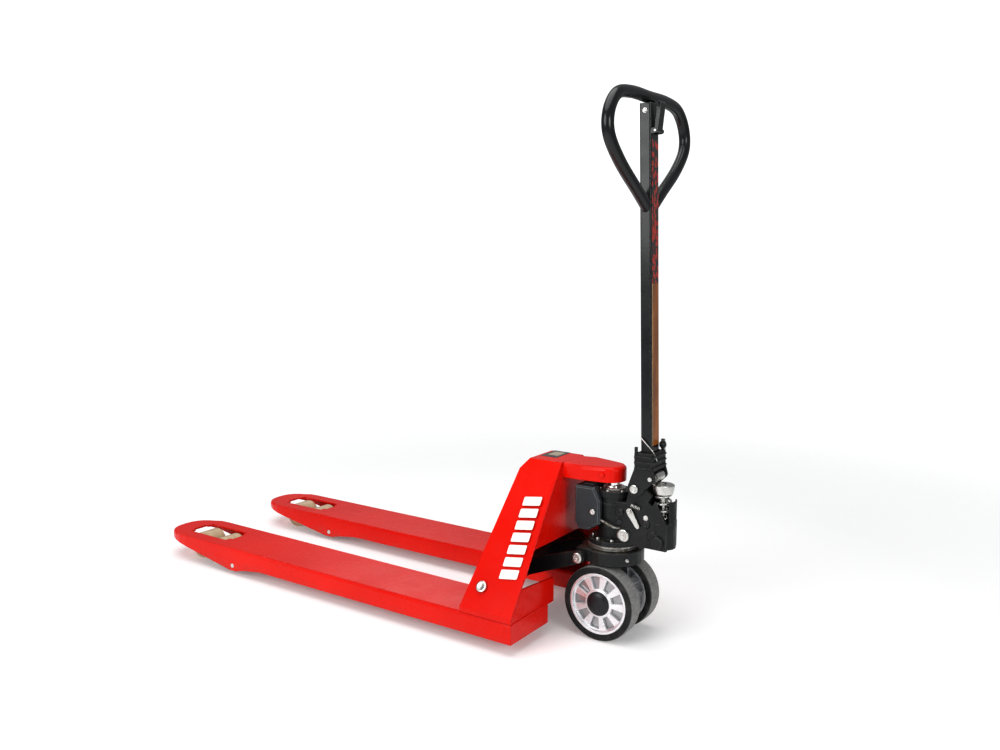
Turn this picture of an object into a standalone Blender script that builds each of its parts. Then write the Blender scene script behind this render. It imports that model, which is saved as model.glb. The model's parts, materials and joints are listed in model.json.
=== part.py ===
"""Hand pallet truck with tandem load rollers, modelled lowered, with its handle upright.

Every piece is one closed solid under the empty of the body that it moves with, and that empty
sits on the body's joint. Lengths are in metres, +X points from the forks to the handle and
+Z up. In the functions below X is measured from the end face of the forks' heels.
"""

import math

import bmesh
import bpy
from mathutils import Matrix, Vector
from mathutils.geometry import convex_hull_2d

# Forks
OVERALL_WIDTH = 0.540
FORK_WIDTH = 0.160
FORK_REACH = 1.258
FORK_TOP = 0.078
FORK_UNDERSIDE = 0.030
FORK_WALL = 0.005
FORK_EDGE_RADIUS = 0.007
TIP_LENGTH = 0.109
TIP_UNDERSIDE = 0.065
TIP_ROUNDNESS = 2.4
BOSS_RAMP = 0.049
BOSS_RUN = 0.112
LIFT = 0.115

# Head, the leaning box between the forks and the pump
HEAD_TOP = 0.409
HEAD_SIDE_RUN = 0.218
HEAD_FOLD = 0.090
HEAD_DEPTH_LOW = 0.145
HEAD_DEPTH_HIGH = 0.109
HEAD_CHAMFER_DEPTH = 0.019
HEAD_CHAMFER_DROP = 0.024
HEAD_PLATE = 0.005
WINDOW_SILL_OUT = 0.155
WINDOW_SILL_IN = 0.135
WINDOW_HEAD = 0.226
NOSE_REACH = 0.141
NOSE_HEIGHT = 0.036
NOSE_WIDTH = 0.096
NOSE_END_WIDTH = 0.080
NOSE_EDGE_RADIUS = 0.009
NOSE_SHOULDER = 0.040

# Load rollers and their lifting frames
ROLLER_DIAMETER = 0.074
ROLLER_WIDTH = 0.070
ROLLER_GAP = 0.016
ROLLER_CHAMFER = 0.003
ROLLER_AXLE = 0.012
BOGIE_PIN = 0.010
BOGIE_SETBACK = 0.162
LINK_PLATE = 0.006
FRAME_LENGTH = 0.152
FRAME_PIVOT_Z = 0.027
FRAME_PIN = 0.014
CRANK_RADIUS = 0.0314
BOGIE_EYE = 0.012
CRANK_EYE = 0.009
OPENING_TUCK = 0.008
OPENING_MARGIN = 0.010
OPENING_END_LENGTH = 0.010
OPENING_END_WIDTH = 0.046

# Rocker and push rods
ROCKER_X = -0.100
ROCKER_Z = 0.137
ROCKER_TUBE = 0.044
ROCKER_SHAFT = 0.024
ARM_THICKNESS = 0.014
ARM_DEPTH = 0.030
LEVER_RADIUS = 0.0385
LEVER_THICKNESS = 0.008
PUSH_ROD_WIDTH = 0.016
PUSH_ROD_DEPTH = 0.022
PUSH_ROD_PIN = 0.010
SHAFT_BOLT_DIAMETER = 0.027
SHAFT_BOLT_HEIGHT = 0.006
SHAFT_BOLT_CHAMFER = 0.0025
PUSH_ROD_CORNER = 0.004

# Base yoke and steering
STEER_X = 0.114
YOKE_CLEARANCE = 0.004
YOKE_THICKNESS = 0.030
YOKE_RADIUS = 0.074
YOKE_PIN_SETBACK = 0.051
YOKE_PIN_HEIGHT = 0.011
YOKE_PIN = 0.018
YOKE_PIN_HEAD = 0.026
YOKE_PIN_HEAD_HEIGHT = 0.0065
YOKE_HALF_WIDTH = 0.063
BEARING_HEIGHT = 0.012
BEARING_RADIUS = 0.060
BEARING_CHAMFER = 0.002
SPIGOT_RADIUS = 0.0245

# Steering wheels
WHEEL_DIAMETER = 0.180
WHEEL_WIDTH = 0.050
WHEEL_TRACK = 0.156
TYRE_THICKNESS = 0.016
TYRE_CHAMFER = 0.004
RIM_RECESS = 0.002
RIM_LIP = 0.008
RIM_SLOPE = 0.004
HUB_DISH = 0.010
HUB_BOSS_DROP = 0.002
CAP_SEAT_DEPTH = 0.007
AXLE_DIAMETER = 0.024
HUB_CAP_DIAMETER = 0.050
HUB_CAP_HEIGHT = 0.010

# Pump, tank and plunger
CYLINDER_RADIUS = 0.036
CYLINDER_TOP = 0.352
PISTON_RADIUS = 0.015
PISTON_LENGTH = 0.150
COLLAR_HEIGHT = 0.014
COLLAR_RADIUS = 0.040
FLANGE_HEIGHT = 0.010
TANK_WIDTH = 0.104
TANK_REAR_SETBACK = 0.078
TANK_FRONT_SETBACK = 0.012
TANK_BOTTOM = 0.255
TANK_TOP = 0.360
TANK_CHAMFER = 0.016
TANK_REAR_CHAMFER = 0.0096
TANK_SOLE_CHAMFER = 0.0288
TANK_FOOT_RISE = 0.0192
TANK_RIM = 0.004
TANK_SCREW = 0.014
TANK_SCREW_HEIGHT = 0.005
TANK_SCREW_Z = 0.3027
AXLE_BLOCK_HALF_DEPTH = 0.027
BLOCK_WIDTH = 0.060
BLOCK_FRONT_REACH = 0.148
BLOCK_TOP = 0.330
BLOCK_STEP_REACH = 0.086
LUG_THICKNESS = 0.009
LUG_RADIUS = 0.016
LUG_SHOULDER = 0.350
CROSS_PIN_REACH = 0.043
CROSS_PIN_Z = 0.253
CROSS_PIN = 0.018
CROSS_PIN_HEAD = 0.030
CROSS_PIN_HEAD_HEIGHT = 0.008
PLUNGER_REACH = 0.126
PLUNGER_Z = 0.379
PLUNGER_RADIUS = 0.009
SPRING_LENGTH = 0.086
SPRING_RADIUS = 0.020
SPRING_WIRE = 0.005
SPRING_TURNS = 4.5
SPRING_CAP_RADIUS = 0.025
CUP_RADIUS = 0.031
GUARD_TOP = 0.034
GUARD_THICKNESS = 0.003
GUARD_SPREAD = math.radians(40)
RELEASE_REACH = 0.058
RELEASE_Z = 0.313
RELEASE_RUN = 0.0207
RELEASE_DROP = 0.0322
RELEASE_THICKNESS = 0.005
RELEASE_EYE = 0.008
RELEASE_TIP = 0.005
HEAD_EDGE = 0.002

# Tiller
TILLER_REACH = 0.070
TILLER_Z = 0.369
TILLER_BOLT = 0.014
TILLER_BOLT_HEAD = 0.021
TILLER_BOLT_HEAD_HEIGHT = 0.005
TILLER_BOLT_EDGE = 0.001
TILLER_LEAN = math.radians(-1.7)
TILLER_SWING = math.radians(70)
CHEEK_PLAY = 0.001
CHEEK_THICKNESS = 0.006
CHEEK_RADIUS = 0.018
SOCKET_BOTTOM = 0.043
SOCKET_TOP = 0.083
SOCKET_DEPTH = 0.044
POLE_X = 0.0222
POLE_DEPTH = 0.028
POLE_WIDTH = 0.042
POLE_WALL = 0.0025
POLE_INSERT = 0.026
POLE_CORNER = 0.004
PRESS_ROLLER_X = 0.040
PRESS_ROLLER_Z = 0.027
PRESS_ROLLER_RADIUS = 0.011
PRESS_ROLLER_WIDTH = 0.040
PRESS_PIN = 0.010
PRESS_PIN_END = 0.004
HANDLE_TOP = 0.889
LOOP_WIDTH = 0.420
LOOP_HEIGHT = 0.262
LOOP_TUBE = 0.027
LEVER_PIVOT_DROP = 0.088
LEVER_BLADE_LENGTH = 0.058
LEVER_BLADE_WIDTH = 0.026
LEVER_BLADE_THICKNESS = 0.008
LEVER_PIN = 0.0048
LEVER_EAR_THICKNESS = 0.004
LEVER_EAR_RADIUS = 0.0055
PULL_ROD = 0.008
PULL_ROD_CLEARANCE = 0.003

# Gaps, and the small step between two faces of one casting
CAST_STEP = 0.001
FIT = 0.0003
SLIDE_FIT = 0.0006
SIDE_PLAY = 0.0015
WHEEL_PLAY = 0.004

# Values that follow from the ones above
FORK_Y = (OVERALL_WIDTH - FORK_WIDTH) / 2
HEAD_TOP_WIDTH = OVERALL_WIDTH - 2 * HEAD_SIDE_RUN
ROLLER_Z = ROLLER_DIAMETER / 2
ROLLER_PITCH = ROLLER_DIAMETER + ROLLER_GAP
BOGIE_X = BOGIE_SETBACK - FORK_REACH
FRAME_PIVOT_X = BOGIE_X + FRAME_LENGTH
OPENING_LENGTH = ROLLER_PITCH + ROLLER_DIAMETER - OPENING_TUCK
OPENING_WIDTH = ROLLER_WIDTH + OPENING_MARGIN
WHEEL_Z = WHEEL_DIAMETER / 2
YOKE_BOTTOM = WHEEL_DIAMETER + YOKE_CLEARANCE
YOKE_PIN_X = STEER_X - YOKE_PIN_SETBACK
YOKE_PIN_Z = YOKE_BOTTOM + YOKE_PIN_HEIGHT
TANK_REAR = STEER_X - TANK_REAR_SETBACK
TANK_FRONT = STEER_X - TANK_FRONT_SETBACK
BLOCK_FRONT = STEER_X + BLOCK_FRONT_REACH
BLOCK_STEP = STEER_X + BLOCK_STEP_REACH
CROSS_PIN_X = STEER_X + CROSS_PIN_REACH
PLUNGER_X = STEER_X + PLUNGER_REACH
RELEASE_X = STEER_X + RELEASE_REACH
TILLER_X = STEER_X + TILLER_REACH
WHEEL_Y = (WHEEL_TRACK - WHEEL_WIDTH) / 2
ARM_RISE = math.atan2(YOKE_PIN_Z - ROCKER_Z, YOKE_PIN_X - ROCKER_X)
ARM_FALL = math.atan2(YOKE_PIN_Z - ROCKER_Z - LIFT, YOKE_PIN_X - ROCKER_X)
ROCKER_SWING = ARM_RISE - ARM_FALL
PUSH_TRAVEL = 2 * LEVER_RADIUS * math.sin(ROCKER_SWING / 2)
FRAME_ARM = math.hypot(BOGIE_X - FRAME_PIVOT_X, ROLLER_Z - FRAME_PIVOT_Z)
FRAME_SWING = math.asin((ROLLER_Z - FRAME_PIVOT_Z) / FRAME_ARM) - math.asin(
    (ROLLER_Z - FRAME_PIVOT_Z - LIFT) / FRAME_ARM
)
LEVER_PIN_X = ROCKER_X + LEVER_RADIUS * math.sin(ROCKER_SWING / 2)
LEVER_PIN_Z = ROCKER_Z - LEVER_RADIUS * math.cos(ROCKER_SWING / 2)
CRANK_PIN_X = FRAME_PIVOT_X + CRANK_RADIUS * math.sin(FRAME_SWING / 2)
CRANK_PIN_Z = FRAME_PIVOT_Z + CRANK_RADIUS * math.cos(FRAME_SWING / 2)
LINK_PLATE_IN = ROLLER_WIDTH / 2 + SIDE_PLAY
FRAME_CHEEK_IN = LINK_PLATE_IN + LINK_PLATE + SIDE_PLAY
ARM_IN = YOKE_HALF_WIDTH + SIDE_PLAY * 2
YOKE_TOP = YOKE_BOTTOM + YOKE_THICKNESS
PUMP_BOTTOM = YOKE_TOP + BEARING_HEIGHT + 2 * FIT
NOSE_BOTTOM = HEAD_TOP - NOSE_HEIGHT
CHEEK_IN = BLOCK_WIDTH / 2 + CHEEK_PLAY
PLUNGER_SEAT = Vector((PLUNGER_X, 0, PLUNGER_Z))
SPRING_FOOT = PLUNGER_Z - SPRING_LENGTH
BLOCK_BOTTOM = PUMP_BOTTOM + FLANGE_HEIGHT / 2
TILLER_PIVOT = Vector((TILLER_X, 0, TILLER_Z))
TILLER_SPACE = Matrix.Translation(TILLER_PIVOT) @ Matrix.Rotation(TILLER_LEAN, 4, "Y")
PRESS_CENTRE = TILLER_SPACE @ Vector((PRESS_ROLLER_X, 0, PRESS_ROLLER_Z))
LEVER_X = POLE_X + POLE_DEPTH / 2 + LEVER_BLADE_THICKNESS
LEVER_Z = HANDLE_TOP - LEVER_PIVOT_DROP
HAND_LEVER_PIVOT = TILLER_SPACE @ Vector((LEVER_X, 0, LEVER_Z))
FRONT_REACH = PLUNGER_X + CUP_RADIUS
HEEL_X = (FORK_REACH - FRONT_REACH) / 2

BODIES = {
    "base": (STEER_X, 0, YOKE_TOP),
    "frame": (0, 0, FORK_TOP),
    "rocker": (ROCKER_X, 0, ROCKER_Z),
    "push_rod_left": (0, -FORK_Y, CRANK_PIN_Z),
    "push_rod_right": (0, FORK_Y, CRANK_PIN_Z),
    "roller_frame_left": (FRAME_PIVOT_X, -FORK_Y, FRAME_PIVOT_Z),
    "roller_frame_right": (FRAME_PIVOT_X, FORK_Y, FRAME_PIVOT_Z),
    "bogie_left": (BOGIE_X, -FORK_Y, ROLLER_Z),
    "bogie_right": (BOGIE_X, FORK_Y, ROLLER_Z),
    "roller_left_tip": (BOGIE_X - ROLLER_PITCH / 2, -FORK_Y, ROLLER_Z),
    "roller_left_heel": (BOGIE_X + ROLLER_PITCH / 2, -FORK_Y, ROLLER_Z),
    "roller_right_tip": (BOGIE_X - ROLLER_PITCH / 2, FORK_Y, ROLLER_Z),
    "roller_right_heel": (BOGIE_X + ROLLER_PITCH / 2, FORK_Y, ROLLER_Z),
    "pump": (STEER_X, 0, PUMP_BOTTOM),
    "wheel_left": (STEER_X, -WHEEL_Y, WHEEL_Z),
    "wheel_right": (STEER_X, WHEEL_Y, WHEEL_Z),
    "plunger": tuple(PLUNGER_SEAT),
    "release_arm": (RELEASE_X, 0, RELEASE_Z),
    "tiller": tuple(TILLER_PIVOT),
    "press_roller": tuple(PRESS_CENTRE),
    "hand_lever": tuple(HAND_LEVER_PIVOT),
    "pull_rod": tuple(TILLER_PIVOT),
}
SIDES = {"left": -1, "right": 1}

PAINTS = {
    "red_paint": ((0.80, 0.018, 0.010), 0.28, 0.0),
    "black_casting": ((0.018, 0.019, 0.020), 0.50, 0.2),
    "black_paint": ((0.012, 0.012, 0.013), 0.32, 0.1),
    "grey_tank": ((0.060, 0.066, 0.072), 0.45, 0.2),
    "zinc": ((0.62, 0.62, 0.61), 0.30, 1.0),
    "bearing_steel": ((0.30, 0.29, 0.27), 0.45, 0.9),
    "chrome": ((0.80, 0.80, 0.80), 0.10, 1.0),
    "hub_alloy": ((0.70, 0.71, 0.72), 0.28, 1.0),
    "tyre_rubber": ((0.020, 0.020, 0.021), 0.75, 0.0),
    "roller_urethane": ((0.58, 0.44, 0.28), 0.45, 0.0),
    "cap_plastic": ((0.020, 0.022, 0.025), 0.35, 0.0),
}


def clear_scene():
    for obj in list(bpy.data.objects):
        bpy.data.objects.remove(obj, do_unlink=True)


def paint(name):
    """The Principled material of this name, made once."""
    found = bpy.data.materials.get(name)
    if found:
        return found
    colour, roughness, metallic = PAINTS[name]
    made = bpy.data.materials.new(name)
    made.use_nodes = True
    shader = made.node_tree.nodes["Principled BSDF"]
    shader.inputs["Base Color"].default_value = (*colour, 1)
    shader.inputs["Roughness"].default_value = roughness
    shader.inputs["Metallic"].default_value = metallic
    made.diffuse_color = (*colour, 1)
    return made


def make_empties():
    """The truck's own empty, and one on each body's joint."""
    truck = bpy.data.objects.new("truck", None)
    truck.location.x = HEEL_X
    bpy.context.collection.objects.link(truck)
    for name, place in BODIES.items():
        empty = bpy.data.objects.new("axis_" + name, None)
        empty.parent = truck
        empty.location = place
        bpy.context.collection.objects.link(empty)


def finish(bm, name, finish_name, body):
    """Turns a bmesh in heel coordinates into an object under its body's empty."""
    bmesh.ops.recalc_face_normals(bm, faces=bm.faces)
    bmesh.ops.translate(bm, verts=bm.verts, vec=-Vector(BODIES[body]))
    mesh = bpy.data.meshes.new(name)
    bm.to_mesh(mesh)
    bm.free()
    mesh.shade_smooth()
    mesh.set_sharp_from_angle(angle=math.radians(32))
    mesh.materials.append(paint(finish_name))
    obj = bpy.data.objects.new(name, mesh)
    obj.parent = bpy.data.objects["axis_" + body]
    bpy.context.collection.objects.link(obj)
    return obj


def helper(obj):
    """Leaves an object out of the model, as a tool for a Boolean."""
    obj.hide_render = True
    obj.display_type = "WIRE"
    return obj


def combine(target, tools, operation):
    for tool in tools:
        step = target.modifiers.new(operation.lower(), "BOOLEAN")
        step.operation = operation
        step.solver = "EXACT"
        step.object = helper(tool)
    return target


def cut(target, *tools):
    return combine(target, tools, "DIFFERENCE")


def weld(target, *tools):
    return combine(target, tools, "UNION")


def keep(target, *tools):
    return combine(target, tools, "INTERSECT")


def lift_point(point, axis, height):
    """A 2-D outline point in space: the outline lies across this axis at this height."""
    first, second = point
    if axis == "x":
        return (height, first, second)
    if axis == "y":
        return (first, height, second)
    return (first, second, height)


def prism_mesh(outline, axis, low, high):
    bm = bmesh.new()
    base = [bm.verts.new(lift_point(point, axis, low)) for point in outline]
    top = [bm.verts.new(lift_point(point, axis, high)) for point in outline]
    bm.faces.new(base)
    bm.faces.new(top)
    for index in range(len(outline)):
        after = (index + 1) % len(outline)
        bm.faces.new((base[index], base[after], top[after], top[index]))
    return bm


def prism(name, colour, body, outline, axis, low, high):
    """A plate or block with this outline, from low to high along the axis."""
    return finish(prism_mesh(outline, axis, low, high), name, colour, body)


def box(name, colour, body, low, high):
    outline = [(low[0], low[1]), (high[0], low[1]), (high[0], high[1]), (low[0], high[1])]
    return prism(name, colour, body, outline, "z", low[2], high[2])


def arc(centre, radius, start, end, steps):
    """Points on a circular arc, angles in degrees."""
    angles = [math.radians(start + (end - start) * step / steps) for step in range(steps + 1)]
    return [(centre[0] + radius * math.cos(a), centre[1] + radius * math.sin(a)) for a in angles]


def circle(centre, radius, steps=16):
    return arc(centre, radius, 0, 360, steps)[:-1]


def hull(*outlines):
    """The outline round all of these outlines, like a belt."""
    points = [point for outline in outlines for point in outline]
    return [points[index] for index in convex_hull_2d([Vector(point) for point in points])]


def slot(start, end, radius, steps=12):
    return hull(circle(start, radius, steps), circle(end, radius, steps))


def turned(name, colour, body, profile, start, direction, steps=24):
    """A turned piece: profile holds (distance along the axis, radius) from end to end."""
    bm = bmesh.new()
    turn = Vector((0, 0, 1)).rotation_difference(Vector(direction)).to_matrix().to_4x4()
    place = Matrix.Translation(Vector(start)) @ turn
    closed = profile[0][1] > 0
    rings = []
    for distance, radius in profile:
        if radius == 0:
            rings.append([bm.verts.new(place @ Vector((0, 0, distance)))])
            continue
        ring = circle((0, 0), radius, steps)
        rings.append([bm.verts.new(place @ Vector((x, y, distance))) for x, y in ring])
    pairs = list(zip(rings, rings[1:]))
    if closed:
        pairs.append((rings[-1], rings[0]))
    for low, high in pairs:
        for index in range(steps):
            after = (index + 1) % steps
            corners = [low[index % len(low)], low[after % len(low)]]
            corners += [high[after % len(high)], high[index % len(high)]]
            bm.faces.new(list(dict.fromkeys(corners)))
    return finish(bm, name, colour, body)


def rod(name, colour, body, start, end, radius, steps=16, chamfer=0.0):
    """A round bar from start to end, with chamfered ends where a chamfer is given."""
    start, end = Vector(start), Vector(end)
    length = (end - start).length
    profile = [(0, 0), (0, radius), (length, radius), (length, 0)]
    if chamfer:
        profile[1:3] = [
            (0, radius - chamfer),
            (chamfer, radius),
            (length - chamfer, radius),
            (length, radius - chamfer),
        ]
    return turned(name, colour, body, profile, start, end - start, steps)


def ring_profile(inner, outer, low, high, chamfer=0.0):
    """The section of a ring, as a closed profile for turned()."""
    if not chamfer:
        return [(low, inner), (low, outer), (high, outer), (high, inner)]
    return [
        (low, inner),
        (low, outer - chamfer),
        (low + chamfer, outer),
        (high - chamfer, outer),
        (high, outer - chamfer),
        (high, inner),
    ]


def bevel_edges(bm, chosen, radius, steps):
    bmesh.ops.bevel(
        bm, geom=chosen, offset=radius, segments=steps, profile=0.5, affect="EDGES"
    )


# ---------------------------------------------------------------- forks


def fork_outline(y, inset):
    """Plan of a fork: straight sides and a superelliptic tip, drawn in by the inset."""
    half = FORK_WIDTH / 2 - inset
    shoulder = -(FORK_REACH - TIP_LENGTH)
    length = TIP_LENGTH - inset
    power = 2 / TIP_ROUNDNESS
    steps = 14
    points = [(-inset, y - half), (-inset, y + half)]
    for step in range(steps + 1):
        angle = math.pi / 2 + math.pi * step / steps
        along = abs(math.cos(angle)) ** power * length
        across = math.copysign(abs(math.sin(angle)) ** power * half, math.sin(angle))
        points.append((shoulder - along, y + across))
    return points


def fork_side_outline():
    """Side view of a fork: deepest round the roller frame's pivot, then rising to the tip."""
    boss = FRAME_PIVOT_Z - FRAME_PIN
    above = FORK_TOP + FORK_WALL
    beyond = FORK_REACH + FORK_WALL
    pivot = FRAME_PIVOT_X
    return [
        (FORK_WALL, above),
        (-beyond, above),
        (-beyond, TIP_UNDERSIDE),
        (pivot - FRAME_PIN, boss),
        (pivot + FRAME_PIN, boss),
        (pivot + BOSS_RAMP, (boss + FORK_UNDERSIDE) / 2),
        (pivot + BOSS_RUN, FORK_UNDERSIDE),
        (FORK_WALL, FORK_UNDERSIDE),
    ]


def roller_opening_outline(y):
    """The opening over the rollers: a rectangle with a narrower notch at both ends."""
    half = OPENING_LENGTH / 2
    wide = OPENING_WIDTH / 2
    narrow = OPENING_END_WIDTH / 2
    end = half + OPENING_END_LENGTH
    corners = [(half, -wide), (half, -narrow), (end, -narrow)]
    corners += [(end, narrow), (half, narrow), (half, wide)]
    corners += [(-x, -across) for x, across in corners]
    return [(BOGIE_X + x, y + across) for x, across in corners]


def make_fork(side):
    sign = SIDES[side]
    y = sign * FORK_Y
    name = "fork_" + side
    bm = prism_mesh(fork_outline(y, 0), "z", 0, FORK_TOP)
    rim = [
        edge
        for edge in bm.edges
        if all(vert.co.z > FORK_TOP - FIT for vert in edge.verts)
        and any(vert.co.x < -FIT for vert in edge.verts)
    ]
    bevel_edges(bm, rim, FORK_EDGE_RADIUS, 2)
    fork = finish(bm, name, "red_paint", "frame")
    side_view = prism(
        name + "_side_view", "red_paint", "frame", fork_side_outline(), "y", y - 1, y + 1
    )
    hollow = prism(
        name + "_hollow",
        "red_paint",
        "frame",
        fork_outline(y, FORK_WALL),
        "z",
        -FORK_WALL,
        FORK_TOP - FORK_WALL,
    )
    opening = prism(
        name + "_opening",
        "red_paint",
        "frame",
        roller_opening_outline(y),
        "z",
        FORK_TOP - 2 * FORK_WALL,
        FORK_TOP + FORK_WALL,
    )
    seat = box(
        name + "_head_seat",
        "red_paint",
        "frame",
        (-HEAD_DEPTH_LOW - FIT, y - FORK_WIDTH, FORK_TOP - FIT),
        (FORK_WALL, y + FORK_WIDTH, FORK_TOP + FORK_WALL),
    )
    reach = PUSH_ROD_WIDTH / 2 + SIDE_PLAY
    rod_slot = box(
        name + "_rod_slot",
        "red_paint",
        "frame",
        (LEVER_PIN_X - PUSH_TRAVEL - reach - PUSH_ROD_PIN, y - reach, FORK_TOP - 2 * FORK_WALL),
        (LEVER_PIN_X + reach + PUSH_ROD_PIN, y + reach, FORK_TOP + FORK_WALL),
    )
    pin_hole = rod(
        name + "_pin_hole",
        "red_paint",
        "frame",
        (FRAME_PIVOT_X, y - FORK_WIDTH, FRAME_PIVOT_Z),
        (FRAME_PIVOT_X, y + FORK_WIDTH, FRAME_PIVOT_Z),
        FRAME_PIN / 2 + FIT,
    )
    keep(fork, side_view)
    cut(fork, hollow, opening, seat, rod_slot, pin_hole)
    pin_reach = FORK_WIDTH / 2
    rod(
        "fork_pin_" + side,
        "zinc",
        "frame",
        (FRAME_PIVOT_X, y - pin_reach, FRAME_PIVOT_Z),
        (FRAME_PIVOT_X, y + pin_reach, FRAME_PIVOT_Z),
        FRAME_PIN / 2,
        chamfer=0.001,
    )


# ---------------------------------------------------------------- head


def head_side_outline(inset):
    """Side view of the head box: a sloping load face, a chamfer and a flat top."""
    foot = FORK_TOP
    slope = (HEAD_DEPTH_LOW - HEAD_DEPTH_HIGH) / (HEAD_TOP - HEAD_CHAMFER_DROP - foot)
    lean = math.hypot(1, slope)
    rear_top = HEAD_TOP - HEAD_CHAMFER_DROP
    diagonal = math.hypot(HEAD_CHAMFER_DEPTH, HEAD_CHAMFER_DROP)
    bevel_run = HEAD_CHAMFER_DEPTH / HEAD_CHAMFER_DROP
    shift = inset * lean
    chamfer_shift = inset * diagonal / HEAD_CHAMFER_DROP
    corner_z = rear_top + (shift - chamfer_shift) / (bevel_run - slope)
    corner_x = -HEAD_DEPTH_HIGH + shift + slope * (corner_z - rear_top)
    top = HEAD_TOP - inset
    top_x = -HEAD_DEPTH_HIGH + chamfer_shift + bevel_run * (top - rear_top)
    rear = [(-HEAD_DEPTH_LOW + shift, foot), (corner_x, corner_z), (top_x, top)]
    return [(0, foot)] + rear + [(0, top)]


def head_front_outline(inset):
    """Front view of the head: upright over the forks' sides, then leaning in to the top."""
    half = OVERALL_WIDTH / 2
    top = HEAD_TOP_WIDTH / 2
    rise = HEAD_TOP - HEAD_FOLD
    lean = math.hypot(half - top, rise) / rise
    fold_shift = inset * math.tan(math.atan2(half - top, rise) / 2)
    right = [
        (half - inset, FORK_TOP),
        (half - inset, HEAD_FOLD - fold_shift),
        (top - inset * lean, HEAD_TOP),
    ]
    return right + [(-y, z) for y, z in reversed(right)]


def head_interior(name):
    """What lies between the side plates, with the gap that welded plates keep."""
    outline = head_front_outline(HEAD_PLATE + FIT)
    return prism(name, "red_paint", "frame", outline, "x", -1, 1)


def make_side_plate(side):
    sign = SIDES[side]
    outer = [(sign * y, z) for y, z in head_front_outline(0)[:3]]
    inner = [(sign * y, z) for y, z in head_front_outline(HEAD_PLATE)[:3]]
    plate = prism(
        "side_plate_" + side,
        "red_paint",
        "frame",
        outer + inner[::-1],
        "x",
        -HEAD_DEPTH_LOW - HEAD_PLATE,
        0,
    )
    side_view = prism(
        "side_plate_view_" + side, "red_paint", "frame", head_side_outline(0), "y", -1, 1
    )
    keep(plate, side_view)


def strip_outline(first, last):
    """A wall that follows the head's side view between two of its corners."""
    outer = head_side_outline(0)[first:last]
    inner = head_side_outline(HEAD_PLATE)[first:last]
    return outer + inner[::-1]


def make_head_walls():
    rear = prism("load_wall", "red_paint", "frame", strip_outline(1, 3), "y", -1, 1)
    keep(rear, head_interior("load_wall_interior"))
    top_outer = head_side_outline(0)[2:]
    top_inner = head_side_outline(HEAD_PLATE)[2:]
    outline = [(x + FIT / 2, z + FIT) for x, z in top_outer[:1]]
    outline += top_outer[1:] + top_inner[:0:-1]
    outline += [(x + FIT / 2, z + FIT) for x, z in top_inner[:1]]
    top = prism("top_plate", "red_paint", "frame", outline, "y", -1, 1)
    keep(top, head_interior("top_plate_interior"))
    front = box(
        "front_wall",
        "red_paint",
        "frame",
        (-HEAD_PLATE, -1, WINDOW_HEAD),
        (0, 1, HEAD_TOP - HEAD_PLATE - FIT),
    )
    keep(front, head_interior("front_wall_interior"))
    inner_edge = ARM_IN + ARM_THICKNESS + WHEEL_PLAY
    for side, sign in SIDES.items():
        outline = [
            (sign * inner_edge, FORK_TOP),
            (sign * OVERALL_WIDTH, FORK_TOP),
            (sign * OVERALL_WIDTH, 2 * WINDOW_SILL_OUT - WINDOW_SILL_IN),
            (sign * inner_edge, WINDOW_SILL_IN),
        ]
        low = prism("sill_wall_" + side, "red_paint", "frame", outline, "x", -HEAD_PLATE, 0)
        keep(low, head_interior("sill_wall_interior_" + side))


def nose_outline():
    """Plan of the nose: tapering sides and a round end over the pump."""
    wide = NOSE_WIDTH / 2
    narrow = NOSE_END_WIDTH / 2
    centre = NOSE_REACH - narrow
    sides = [(NOSE_SHOULDER, wide), (FIT, wide)]
    front = arc((centre, 0), narrow, -80, 80, 10)
    return [(x, -y) for x, y in reversed(sides)] + front + sides


def make_nose():
    bm = prism_mesh(nose_outline(), "z", NOSE_BOTTOM, HEAD_TOP)
    rim = [
        edge
        for edge in bm.edges
        if all(vert.co.z > HEAD_TOP - FIT for vert in edge.verts)
        and any(vert.co.x > 2 * FIT for vert in edge.verts)
    ]
    bevel_edges(bm, rim, NOSE_EDGE_RADIUS, 3)
    nose = finish(bm, "nose", "red_paint", "frame")
    socket = rod(
        "nose_socket",
        "red_paint",
        "frame",
        (STEER_X, 0, NOSE_BOTTOM - NOSE_HEIGHT / 2),
        (STEER_X, 0, NOSE_BOTTOM + NOSE_HEIGHT / 2),
        PISTON_RADIUS + SLIDE_FIT,
    )
    cut(nose, socket)
    top = NOSE_BOTTOM + NOSE_HEIGHT / 2 - FIT
    rod(
        "piston_rod",
        "chrome",
        "frame",
        (STEER_X, 0, top - PISTON_LENGTH),
        (STEER_X, 0, top),
        PISTON_RADIUS,
        chamfer=0.001,
    )


def make_rocker_shaft():
    reach = side_plate_inside(ROCKER_Z + ROCKER_SHAFT / 2) - FIT
    rod(
        "rocker_shaft",
        "zinc",
        "frame",
        (ROCKER_X, -reach, ROCKER_Z),
        (ROCKER_X, reach, ROCKER_Z),
        ROCKER_SHAFT / 2,
    )
    rise = HEAD_TOP - HEAD_FOLD
    run = (OVERALL_WIDTH - HEAD_TOP_WIDTH) / 2
    for side, sign in SIDES.items():
        out = Vector((0, sign * rise, run)).normalized()
        face = side_plate_inside(ROCKER_Z) + HEAD_PLATE * math.hypot(rise, run) / rise
        seat = Vector((ROCKER_X, sign * face, ROCKER_Z)) + out * FIT
        radius = SHAFT_BOLT_DIAMETER / 2
        profile = [
            (0, 0),
            (0, radius),
            (SHAFT_BOLT_HEIGHT - SHAFT_BOLT_CHAMFER, radius),
            (SHAFT_BOLT_HEIGHT, radius - SHAFT_BOLT_CHAMFER),
            (SHAFT_BOLT_HEIGHT, 0),
        ]
        turned("shaft_bolt_" + side, "zinc", "frame", profile, seat, out)


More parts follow.
